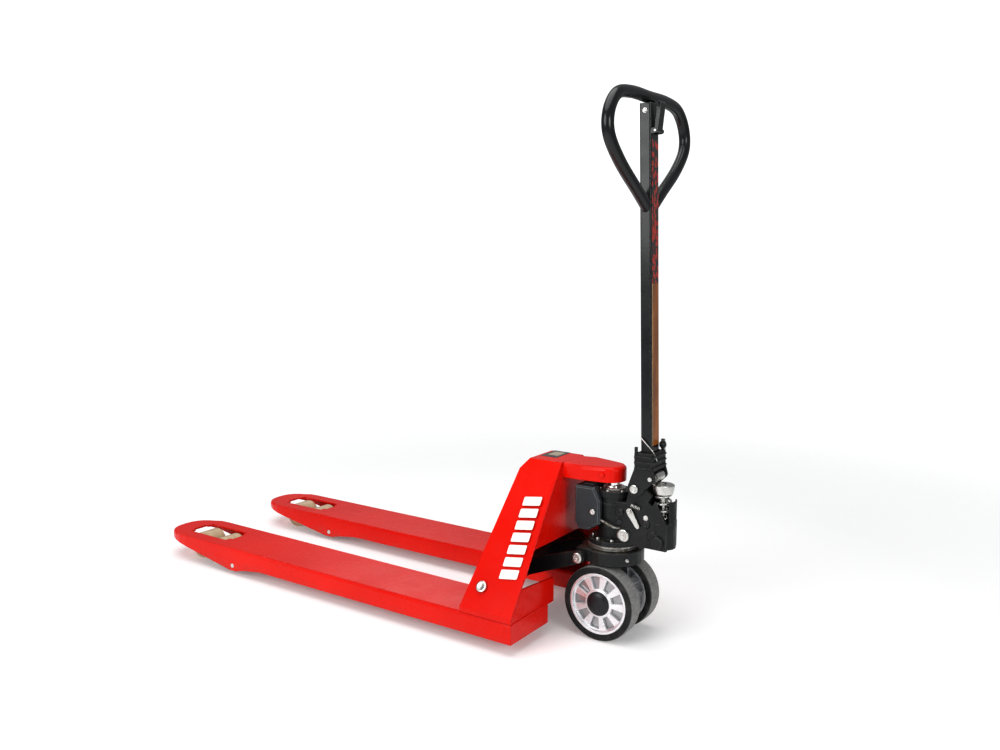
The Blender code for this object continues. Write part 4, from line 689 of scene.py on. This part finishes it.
def hub_face(bm, sign, y):
    """One ribbed face of a hub: rings of points from the bore out to the rim's edge."""
    lip = 0.002
    profile = [
        (HUB_BORE, 0.0055, 0),
        (BOSS_RADIUS - 0.0015, 0.0055, 0),
        (BOSS_RADIUS, 0.0070, 0),
        (BOSS_RADIUS + 0.0016, 0.0074, 0),
        (BOSS_RADIUS + 0.0034, 0.0076, 1),
        (BOSS_RADIUS + 0.0135, 0.0084, 1),
        (RIM_RADIUS - 0.0120, 0.0092, 1),
        (RIM_RADIUS - 0.0100, 0.0092, 0),
        (RIM_RADIUS - 0.0082, 0.0078, 0),
        (RIM_RADIUS - 0.0062, lip, 0),
        (RIM_RADIUS - 0.0012, lip, 0),
        (RIM_RADIUS - 0.0003, lip + 0.0009, 0),
    ]
    span = math.tau / HUB_RIBS
    rings = []
    for radius, depth, pocket in profile:
        wall = RIB_HALF_ANGLE + RIB_WALL / radius
        floor = span - 2 * wall
        spots = [(0, 0), (RIB_HALF_ANGLE, 0), (wall, 1), (wall + floor * 0.33, 1)]
        spots += [(wall + floor * 0.67, 1), (span - wall, 1), (span - RIB_HALF_ANGLE, 0)]
        ring = []
        for rib in range(HUB_RIBS):
            for spot, sunk in spots:
                place = around(span * rib + spot, radius)
                deep = depth + POCKET_DEPTH * sunk * pocket
                ring.append(bm.verts.new((place.x, y - sign * deep, place.y)))
        rings.append(ring)
    for first, second in zip(rings, rings[1:]):
        bridge(bm, first, second)
    return rings[0], rings[-1]


def make_hub(side, sign):
    """A die-cast hub with radial ribs and sunk pockets on both faces."""
    tyre = "tyre_" + side
    x, _, z = JOINTS["wheel_" + side + "_spin"]["pos_m"]
    bm = bmesh.new()
    bore_out, rim_out = hub_face(bm, sign, face_y(tyre, sign))
    bore_in, rim_in = hub_face(bm, -sign, face_y(tyre, -sign))
    bridge(bm, rim_out, rim_in)
    bridge(bm, bore_out, bore_in)
    bmesh.ops.translate(bm, verts=bm.verts, vec=(x, 0, z))
    hub = soften(add_piece(bm, "hub_" + side, "hub_alloy", "wheel_" + side), 0.0005)
    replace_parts(hub, "wheel_hub_" + side)


def make_tyre(side):
    """A solid tyre with rounded shoulders, a low crown and a raised ring on each side."""
    low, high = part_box("tyre_" + side)
    width = high.y - low.y
    x, _, z = JOINTS["wheel_" + side + "_spin"]["pos_m"]
    half = [(0.0008, RIM_RADIUS), (0.0, RIM_RADIUS + 0.0012), (0.0, RIM_RADIUS + 0.0050)]
    half += [(0.0006, RIM_RADIUS + 0.0056), (0.0006, WHEEL_RADIUS - TYRE_SHOULDER - 0.0012)]
    for step in range(7):
        angle = math.radians(90 * step / 6)
        along = 0.0006 + TYRE_SHOULDER * (1 - math.cos(angle))
        half.append((along, WHEEL_RADIUS - 0.0004 - TYRE_SHOULDER * (1 - math.sin(angle))))
    half.append((width * 0.3, WHEEL_RADIUS))
    bm = lathe_mesh(mirrored(half, width), (x, low.y, z), (0, 1, 0), 96)
    tyre = add_piece(bm, "solid_tyre_" + side, "tyre_rubber", "wheel_" + side, sharp=40)
    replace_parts(tyre, "tyre_" + side)


def make_cap(side, sign):
    """A domed axle cap with a stepped rim."""
    node = "hub_cap_" + side
    low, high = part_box(node)
    radius = AXLE_CAP_RADIUS
    height = high.y - low.y
    seat = (middle(node).x, face_y(node, -sign), middle(node).z)
    profile = [(0, 0), (0, radius), (height * 0.22, radius), (height * 0.30, radius * 0.965)]
    for step in range(6):
        angle = math.radians(90 * step / 6)
        rise = height * (0.30 + 0.70 * math.sin(angle))
        profile.append((rise, radius * 0.93 * math.cos(angle)))
    profile.append((height, 0))
    name = "axle_cap_" + side
    cap = turned(name, "cap_plastic", "wheel_" + side, profile, seat, (0, sign, 0), 48)
    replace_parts(cap, node)


def make_load_roller(side, end):
    """A load roller: rounded urethane with a sunk bearing at each end."""
    node = f"load_roller_{side}_{end}"
    low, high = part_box(node)
    radius = (high.z - low.z) / 2
    seat = (middle(node).x, low.y, middle(node).z)
    half = [(0.0030, 0.0066), (0.0030, 0.016), (0.0, 0.018), (0.0, 0.024), (0.0015, 0.0255)]
    half += [(0.0015, 0.029), (0.0, 0.030), (0.0, radius - ROLLER_ROUNDING)]
    for step in range(1, 5):
        angle = math.radians(90 * step / 5)
        along = ROLLER_ROUNDING * (1 - math.cos(angle))
        half.append((along, radius - ROLLER_ROUNDING * (1 - math.sin(angle))))
    half.append((ROLLER_ROUNDING, radius))
    bm = lathe_mesh(mirrored(half, high.y - low.y), seat, (0, 1, 0), 56)
    roller = add_piece(bm, f"urethane_{side}_{end}", "roller_urethane", f"roller_{side}_{end}")
    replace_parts(roller, node)


def make_wheels():
    for side, sign in SIDES.items():
        make_hub(side, sign)
        make_tyre(side)
        make_cap(side, sign)
        for end in ("tip", "heel"):
            make_load_roller(side, end)


# -------------------- head and forks


def side_face(side, x, z):
    """A point on the outer face of a leaning side plate."""
    low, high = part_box("side_plate_" + side)
    outer = max(abs(low.y), abs(high.y))
    top = abs(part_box("top_plate")[1].y)
    share = (z - HEAD_FOLD) / (high.z - HEAD_FOLD)
    return Vector((x, SIDES[side] * (outer + (top - outer) * share), z))


def side_normal(side):
    """The direction in which a side plate faces outwards."""
    rise = side_face(side, 0, MARK_HIGH) - side_face(side, 0, MARK_LOW)
    out = rise.cross(Vector((1, 0, 0))).normalized()
    return out * math.copysign(1, out.y) * SIDES[side]


def make_marks():
    """A row of plain white blocks up each side plate."""
    pitch = (MARK_HIGH - MARK_LOW) / MARK_COUNT
    for side in SIDES:
        out = side_normal(side)
        for index in range(MARK_COUNT):
            low = MARK_LOW + pitch * index
            high = low + pitch - MARK_GAP
            corners = [
                side_face(side, MARK_REAR, low),
                side_face(side, MARK_FRONT, low + MARK_SLANT),
                side_face(side, MARK_FRONT, high + MARK_SLANT),
                side_face(side, MARK_REAR, high),
            ]
            bm = slab_mesh([corner + out * FILM_LIFT for corner in corners], out * FILM)
            short = [edge for edge in bm.edges if edge.calc_length() < 2 * FILM]
            bmesh.ops.bevel(bm, geom=short, offset=0.003, segments=3, profile=0.5, affect="EDGES")
            name = f"mark_{side}_{index}"
            add_piece(bm, name, "white_film", "frame", sharp=35)


def make_sticker():
    """The unlettered sticker on the head's top."""
    low = (*STICKER_LOW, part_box("top_plate")[1].z + FILM_LIFT)
    high = (*STICKER_HIGH, low[2] + FILM)
    add_piece(block_mesh(low, high), "top_sticker", "sticker_film", "frame")


def bead(name, start, end, radius=0.0022):
    """A weld bead from one point to another, painted over."""
    start, end = Vector(start), Vector(end)
    count = max(int((end - start).length / 0.0025), 4)
    points = [start.lerp(end, index / count) for index in range(count + 1)]
    tube(name, "red_paint", "frame", points, radius, 8, None, 0.35)


def make_beads():
    """Weld beads round the head's walls, its sills and its nose, and the nose's pin ends."""
    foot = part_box("load_wall")[0]
    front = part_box("front_wall")[1]
    nose_low, nose_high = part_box("nose")
    for side, sign in SIDES.items():
        inner, outer = sorted(abs(corner.y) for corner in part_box("fork_" + side))
        start = (foot.x - 0.0005, sign * (inner + 0.004), foot.z)
        bead("bead_load_" + side, start, (start[0], sign * (outer - 0.008), foot.z))
        low = side_face(side, front.x + 0.0006, 0.165)
        high = side_face(side, front.x + 0.0006, nose_low.z)
        shift = Vector((0, -sign * 0.0055, 0))
        bead("bead_front_" + side, low + shift, high + shift, 0.0016)
        sill = abs(face_y("sill_wall_" + side, -sign))
        start = (front.x + 0.0004, sign * (sill + 0.004), foot.z)
        bead("bead_sill_" + side, start, (start[0], sign * (outer - 0.006), foot.z), 0.0018)
    for side, y in (("left", nose_low.y), ("right", nose_high.y)):
        seat = (middle("piston_rod").x - 0.012, y * 0.875, middle("nose").z)
        out = (0, math.copysign(1, y), 0)
        name = "nose_pin_" + side
        pin_head(name, "frame", seat, out, 0.0065, 0.0022, sink=0.006, finish="red_paint")
        start = (front.x + 0.0012, y, nose_low.z + 0.002)
        bead("bead_nose_" + side, start, (start[0], y, nose_high.z - 0.010), 0.0020)


def make_shaft_bolts():
    """The end of the rocker's shaft on each side plate."""
    for side in SIDES:
        node = "shaft_bolt_" + side
        out = side_normal(side)
        height = JOINTS["rocker_swing"]["pos_m"][2]
        seat = side_face(side, middle(node).x, height) + out * 0.0004
        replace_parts(pin_head(node + "_head", "frame", seat, out, 0.0135, 0.0058), node)


def make_fork_pin_ends():
    """The turned end of each fork pin, in the fork's side."""
    for side, sign in SIDES.items():
        node = "fork_pin_" + side
        seat = (middle(node).x, face_y(node, sign) - sign * 0.0022, middle(node).z)
        pin_head("pin_end_" + side, "frame", seat, (0, sign, 0), 0.0064, 0.0021)


# -------------------- pump


def make_piston_gland():
    """The wiper ring and nut round the piston rod, and the screws of the collar below them."""
    collar = Vector((middle("piston_rod").x, 0, COLLAR_TOP))
    profile = [(GAP, 0.0160), (GAP, 0.0270), (0.0050, 0.0270), (0.0062, 0.0255)]
    profile += [(0.0062, 0.0205), (0.0095, 0.0195), (0.0105, 0.0180), (0.0105, 0.0160)]
    turned("piston_gland", "zinc", "pump", profile, collar, UP)
    seat = collar + Vector((0, 0, GAP))
    ring_of_screws("collar_screw", seat, COLLAR_SCREWS, 6, 0.0068, 0.0032)


def make_bearing():
    """The thrust bearing as a grooved ring, and the screws on the flange above it."""
    low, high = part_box("thrust_bearing")
    x = middle("thrust_bearing").x
    radius = (high.x - low.x) / 2
    half = [(0.0, 0.0270), (0.0, radius - 0.002), (0.0014, radius), (0.0046, radius)]
    profile = mirrored(half + [(0.0052, radius - 0.0030)], 0.0120)
    race = turned("bearing_race", "bearing_steel", "base", profile, (x, 0, low.z), UP, 72)
    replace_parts(race, "thrust_bearing")
    seat = Vector((x, 0, high.z + FLANGE_THICKNESS))
    ring_of_screws("flange_screw", seat, FLANGE_SCREWS, 8, 0.0085, 0.0042)


def make_spring_cap():
    """The domed disc over the spring, with a skirt round the coil and a rod down its middle."""
    low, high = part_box("spring_cap")
    radius = (high.y - low.y) / 2
    height = 0.0045
    rod = 0.009
    profile = [(0, 0)]
    for share in (0.35, 0.62, 0.80, 0.92, 1.0):
        profile.append((height * (1 - math.sqrt(1 - share**2)) * 0.9, radius * share))
    profile += [(CAP_RIM, radius), (CAP_SKIRT, SPRING_RADIUS + 0.0022)]
    profile += [(CAP_SKIRT, SPRING_RADIUS + 0.0010), (CAP_RIM, radius - 0.0018)]
    profile += [(height, radius - 0.0030), (height, rod)]
    profile += [(high.z - low.z, rod), (high.z - low.z, 0)]
    seat = (middle("spring_cap").x, 0, high.z)
    cap = turned("cap_disc", "zinc", "plunger", profile, seat, (0, 0, -1), 56)
    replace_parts(cap, "spring_cap")


def make_spring_coil():
    """The coil round the plunger's rod, closed at both ends."""
    x = middle("spring_cap").x
    foot, top = (corner.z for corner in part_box("plunger_spring"))
    length = top - foot
    wire = SPRING_WIRE / 2
    per_turn = 36
    count = int(SPRING_TURNS * per_turn)
    points = []
    for index in range(count + 1):
        share = index / count
        eased = min(max((share - 0.10) / 0.80, 0), 1)
        z = foot + wire + SPRING_WIRE * 0.3 + (length - 2 * wire - SPRING_WIRE * 0.6) * eased
        z += SPRING_WIRE * 0.3 * (share * 2 - 1)
        turn = around(math.tau * index / per_turn, SPRING_RADIUS - wire, z)
        points.append(Vector((x, 0, 0)) + turn)
    coil = tube("spring_coil", "zinc", "pump", points, wire, 10)
    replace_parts(coil, "plunger_spring")
    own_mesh(coil)


def small_coil(name, start, end, radius, wire, turns):
    """A small return spring stretched between two posts."""
    start, end = Vector(start), Vector(end)
    along = (end - start).normalized()
    side = along.orthogonal().normalized()
    other = along.cross(side)
    per_turn = 16
    count = turns * per_turn
    points = []
    for index in range(count + 1):
        turn = around(math.tau * index / per_turn, radius)
        points.append(start.lerp(end, index / count) + side * turn.x + other * turn.y)
    tube(name, "zinc", "pump", points, wire, 8)


def make_cross_heads():
    """The cross pin's turned ends, on both sides of the pump block."""
    cross = middle("cross_pin")
    reach = abs(face_y("cross_pin", -1)) - 0.008
    for side, sign in SIDES.items():
        seat = (cross.x, sign * reach, cross.z)
        head = pin_head("cross_head_" + side, "pump", seat, (0, sign, 0), 0.0153, 0.0083)
    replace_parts(head, "cross_pin")


def make_release():
    """The release arm's pivot, its return spring, and the valve's plug beside it."""
    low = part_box("release_arm")[0]
    x = middle("release_arm").x
    pivot = (low.x + 0.008, low.y, RELEASE_PIVOT_Z)
    pin_head("release_pivot", "release_arm", pivot, LEFT, 0.0055, 0.004)
    hook = (x - 0.004, low.y - 0.004, RELEASE_PIVOT_Z + 0.018)
    post = (x + 0.016, BLOCK_SIDE - 0.0015, RELEASE_PIVOT_Z + 0.009)
    small_coil("valve_spring", hook, post, 0.0042, 0.0008, 7)
    plug = (x + 0.030, BLOCK_SIDE - GAP, RELEASE_PIVOT_Z - 0.010)
    hex_screw("valve_plug", "pump", plug, LEFT, 0.010, 0.004)


def make_block_bosses():
    """Cast bosses with sunk middles on the pump block's left face, and a plain one below them."""
    for index, (x, z, radius, height) in enumerate(BLOCK_BOSSES):
        edge = height * 0.35
        profile = [(0, 0), (0, radius + edge), (edge, radius), (height - edge, radius)]
        profile += [(height, radius - edge), (height, radius * 0.45)]
        profile += [(height - edge, radius * 0.4), (height - edge, 0)]
        name = f"block_boss_{index}"
        turned(name, "black_casting", "pump", profile, (x, BLOCK_SIDE, z), LEFT, 32)
    profile = [(0, 0), (0, 0.0155), (0.005, 0.0155), (0.0075, 0.013), (0.0075, 0)]
    seat = (middle("plunger_spring").x, BLOCK_SIDE, CUP_BOSS_Z)
    turned("cup_boss", "black_casting", "pump", profile, seat, LEFT)


def make_tank_fittings():
    """The screw in the tank's left face, and a low lid on its top."""
    low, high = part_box("oil_tank")
    screw = middle("tank_screw")
    seat = (screw.x, low.y - GAP, screw.z)
    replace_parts(pin_head("tank_bolt", "pump", seat, LEFT, 0.0068, 0.0048), "tank_screw")
    start = (low.x + LID_LOW, low.y + LID_INSET, high.z + GAP)
    end = (low.x + LID_HIGH, high.y - LID_INSET, high.z + GAP + 0.003)
    soften(add_piece(block_mesh(start, end), "tank_lid", "grey_tank", "pump"), 0.001)


def make_cylinder_dressing():
    """Clamp bands round the cylinder, the pipe from the tank, and the yoke's grease nipple."""
    rod = middle("piston_rod")
    profile = [(0, BAND_RADIUS), (0, BAND_RADIUS + 0.0020), (0.0012, BAND_RADIUS + 0.0028)]
    profile = mirrored(profile, 0.0080)
    for index, z in enumerate(BAND_HEIGHTS):
        name = f"cylinder_band_{index}"
        turned(name, "black_casting", "pump", profile, (rod.x, 0, z), UP, 48)
    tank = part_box("oil_tank")[0]
    knots = [
        (rod.x - 0.020, tank.y + 0.012, 0.284),
        (rod.x - 0.006, tank.y + 0.007, 0.282),
        (rod.x + 0.010, tank.y + 0.007, 0.276),
        (rod.x + 0.024, tank.y + 0.012, 0.270),
        (rod.x + 0.031, BLOCK_SIDE, 0.268),
    ]
    tube("tank_pipe", "bearing_steel", "pump", smooth_route(knots, 8), 0.0030, 14)
    profile = [(-0.004, 0), (-0.004, 0.0038), (0.003, 0.0038), (0.0034, 0.0022)]
    profile += [(0.0055, 0.0018), (0.0062, 0.0024), (0.0074, 0.0022), (0.0082, 0)]
    seat = Vector((rod.x, 0, middle("base_yoke").z))
    seat += around(NIPPLE_TURN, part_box("base_yoke")[1].x - rod.x)
    turned("grease_nipple", "zinc", "base", profile, seat, around(NIPPLE_TURN, 1), 24)


def make_yoke_pins():
    """The pins between the rocker arms and the yoke: a plain shank and a wider head."""
    for side, sign in SIDES.items():
        node = "yoke_pin_" + side
        centre = middle(node)
        inner = face_y(node, -sign)
        head = face_y(node, sign) - sign * YOKE_HEAD
        length = abs(head - inner)
        profile = [(0, 0), (0, 0.009), (length, 0.009), (length, 0)]
        seat = (centre.x, inner, centre.z)
        shank = turned(node + "_shank", "zinc", "base", profile, seat, (0, sign, 0), 32)
        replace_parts(shank, node)
        seat = (centre.x, head, centre.z)
        pin_head(node + "_head", "base", seat, (0, sign, 0), 0.0130, YOKE_HEAD - 0.0001)


# -------------------- tiller


def tiller_block(name, finish, low, high, rounding):
    """A rounded block, upright in the tiller's own frame."""
    piece = add_piece(block_mesh(low, high), name, finish, "tiller", TILLER_SPACE)
    soften(piece, rounding)


def make_bracket_details():
    """Ribs round the socket, an ear on each side, and the pivot bolt's two ends."""
    rear, front = POLE_X - SOCKET_X, POLE_X + SOCKET_X
    thin, thick = 0.0001, RIB_THICKNESS
    walls = {
        "left": ((rear, -SOCKET_Y - thick), (front, -SOCKET_Y - thin)),
        "right": ((rear, SOCKET_Y + thin), (front, SOCKET_Y + thick)),
        "front": ((front + thin, -SOCKET_Y), (front + thick, SOCKET_Y)),
    }
    for index, z in enumerate(SOCKET_RIBS):
        for side, (low, high) in walls.items():
            name = f"socket_rib_{side}_{index}"
            tiller_block(name, "black_casting", (*low, z), (*high, z + RIB_HEIGHT), 0.0008)
    foot = SOCKET_TOP + GAP
    low = (rear, -SOCKET_Y, foot)
    high = (rear + 0.007, -SOCKET_Y + 0.006, SOCKET_TOP + 0.015)
    tiller_block("socket_ear_left", "black_casting", low, high, 0.0014)
    low = (front - 0.009, SOCKET_Y - 0.007, foot)
    high = (front, SOCKET_Y, SOCKET_TOP + 0.026)
    tiller_block("socket_ear_right", "bearing_steel", low, high, 0.0014)
    for side, sign in SIDES.items():
        name = "tiller_pin_" + side
        seat = (0, sign * BRACKET_SIDE, 0)
        head = pin_head(name, "tiller", seat, (0, sign, 0), 0.0105, 0.0050, TILLER_SPACE)
    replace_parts(head, "tiller_bolt")


def make_pole_details():
    """Unlettered label films on the pole's front, and the fittings at its foot and head."""
    face = POLE_X + POLE_DEPTH / 2
    film = face + FILM_LIFT
    labels = {
        "upper_label": (LABEL_MIDDLE + 0.001, LABEL_TOP),
        "lower_label": (LABEL_LOW, LABEL_MIDDLE),
    }
    for name, (low, high) in labels.items():
        bm = block_mesh((film, -LABEL_HALF_WIDTH, low), (film + FILM, LABEL_HALF_WIDTH, high))
        add_piece(bm, "pole_" + name, name, "tiller", TILLER_SPACE)
    side = -POLE_WIDTH / 2
    seat = (POLE_X, side, POLE_SCREW_Z)
    hex_screw("pole_screw", "tiller", seat, LEFT, 0.009, 0.004, TILLER_SPACE)
    seat = (face, 0.012, LEVER_SCREW_Z)
    hex_screw("lever_screw", "tiller", seat, (1, 0, 0), 0.008, 0.0035, TILLER_SPACE)
    knots = [
        (POLE_X - 0.010, side - 0.004, 0.118),
        (POLE_X + 0.004, side - 0.0045, 0.104),
        (face + 0.004, side - 0.003, 0.088),
        (face + 0.010, side + 0.006, 0.066),
    ]
    tube("chain_guide_rod", "zinc", "tiller", smooth_route(knots, 8), 0.0016, 12, TILLER_SPACE)
    profile = [(0, 0), (0, 0.006), (0.004, 0.0085), (0.010, 0.009), (0.014, 0.006), (0.0155, 0)]
    seat = (face + 0.003, 0.016, 0.098)
    lean = (1, 0.2, 0.1)
    turned("foot_knob", "cap_plastic", "tiller", profile, seat, lean, 32, TILLER_SPACE)


def loop_knots():
    """The middle line of the handle's loop, from one side of the pole over to the other."""
    half = (LOOP_WIDTH - LOOP_TUBE) / 2
    top = HANDLE_TOP - LOOP_TUBE / 2
    low = top - LOOP_HEIGHT + LOOP_TUBE
    rise = top - low
    shape = [
        (POLE_WIDTH * 0.3, low - rise * 0.02),
        (half * 0.30, low + rise * 0.12),
        (half * 0.72, low + rise * 0.36),
        (half * 0.97, low + rise * 0.58),
        (half * 0.97, low + rise * 0.78),
        (half * 0.78, low + rise * 0.95),
        (half * 0.45, top),
        (0, top),
    ]
    shape += [(-y, z) for y, z in reversed(shape[:-1])]
    return [(POLE_X, y, z) for y, z in shape]


def make_loop():
    """The handle's loop as one bent tube, with a weld round each lower end."""
    points = smooth_route(loop_knots(), 12)
    radius = LOOP_TUBE / 2
    loop = tube("loop_tube", "black_paint", "tiller", points, radius, 28, TILLER_SPACE)
    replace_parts(loop, "handle_loop")
    for side, sign in SIDES.items():
        centre = Vector((POLE_X, sign * (POLE_WIDTH / 2 + 0.0005), points[4].z))
        turns = [around(math.tau * step / 32, 1) for step in range(33)]
        ring = [centre + Vector((0.0125 * turn.x, 0, 0.0165 * turn.y)) for turn in turns]
        name = "loop_weld_" + side
        tube(name, "black_paint", "tiller", ring, 0.0022, 8, TILLER_SPACE, 0.3)


# -------------------- stage


def area_light(name, place, size, power):
    light = bpy.data.lights.new(name, "AREA")
    light.shape = "DISK"
    light.size = size
    light.energy = power
    lamp = bpy.data.objects.new(name, light)
    lamp.location = place
    lamp.rotation_euler = (Vector(AIM) - Vector(place)).to_track_quat("-Z", "Y").to_euler()
    bpy.context.collection.objects.link(lamp)


def make_floor():
    bm = bmesh.new()
    bmesh.ops.create_circle(bm, cap_ends=True, segments=64, radius=FLOOR_RADIUS)
    mesh = bpy.data.meshes.new("floor")
    bm.to_mesh(mesh)
    bm.free()
    mesh.materials.append(floor_paint())
    floor = bpy.data.objects.new("floor", mesh)
    bpy.context.collection.objects.link(floor)


def make_world():
    """A white background for the camera, and a dimmer one that lights the object."""
    world = bpy.context.scene.world or bpy.data.worlds.new("studio")
    bpy.context.scene.world = world
    world.use_nodes = True
    tree = world.node_tree
    seen = tree.nodes["Background"]
    soft = tree.nodes.new("ShaderNodeBackground")
    for light, colour, strength in ((seen, (1, 1, 1, 1), 1.0), (soft, SKY, AMBIENT)):
        light.inputs["Color"].default_value = colour
        light.inputs["Strength"].default_value = strength
    path = tree.nodes.new("ShaderNodeLightPath")
    choice = tree.nodes.new("ShaderNodeMixShader")
    tree.links.new(path.outputs["Is Camera Ray"], choice.inputs[0])
    tree.links.new(soft.outputs[0], choice.inputs[1])
    tree.links.new(seen.outputs[0], choice.inputs[2])
    tree.links.new(choice.outputs[0], tree.nodes["World Output"].inputs["Surface"])


def make_camera():
    lens = bpy.data.cameras.new("camera")
    lens.lens = CAMERA_LENS
    lens.sensor_width = 36
    lens.clip_end = 60
    camera = bpy.data.objects.new("camera", lens)
    turn = Matrix.Rotation(CAMERA_AZIMUTH, 4, "Z")
    turn @= Matrix.Rotation(math.pi / 2 - CAMERA_PITCH, 4, "X")
    turn @= Matrix.Rotation(CAMERA_ROLL, 4, "Z")
    camera.matrix_world = Matrix.Translation(CAMERA_PLACE) @ turn
    bpy.context.collection.objects.link(camera)
    bpy.context.scene.camera = camera


def make_stage():
    """A pale floor, soft studio light and the camera."""
    make_floor()
    make_world()
    area_light("overhead", (0.1, -0.6, 3.6), 3.6, 72)
    area_light("key", (-0.6, -3.6, 1.9), 2.4, 62)
    area_light("front", (3.4, -1.6, 1.6), 1.4, 30)
    area_light("back", (-2.4, 2.8, 2.4), 2.0, 10)
    make_camera()
    bpy.context.scene.view_settings.view_transform = "Standard"
    bpy.context.scene.view_settings.look = "Medium High Contrast"


MAKERS = [red_paint, black_casting, black_paint, grey_tank, zinc, bearing_steel, chrome]
MAKERS += [hub_alloy, tyre_rubber, roller_urethane, cap_plastic]
MAKERS += [white_film, sticker_film, upper_label, lower_label]
FINISHES = {make.__name__: make() for make in MAKERS}


def paint_nodes():
    """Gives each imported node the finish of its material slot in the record."""
    for part in frame["record"]["subparts"]:
        obj = NODES[part["node"]]
        obj.data.materials.clear()
        obj.data.materials.append(FINISHES[part["material_slot"]])


paint_nodes()
make_wheels()
make_marks()
make_sticker()
make_beads()
make_shaft_bolts()
make_fork_pin_ends()
make_piston_gland()
make_bearing()
make_spring_cap()
make_spring_coil()
make_cross_heads()
make_release()
make_block_bosses()
make_tank_fittings()
make_cylinder_dressing()
make_yoke_pins()
make_bracket_details()
make_pole_details()
make_loop()
make_stage()
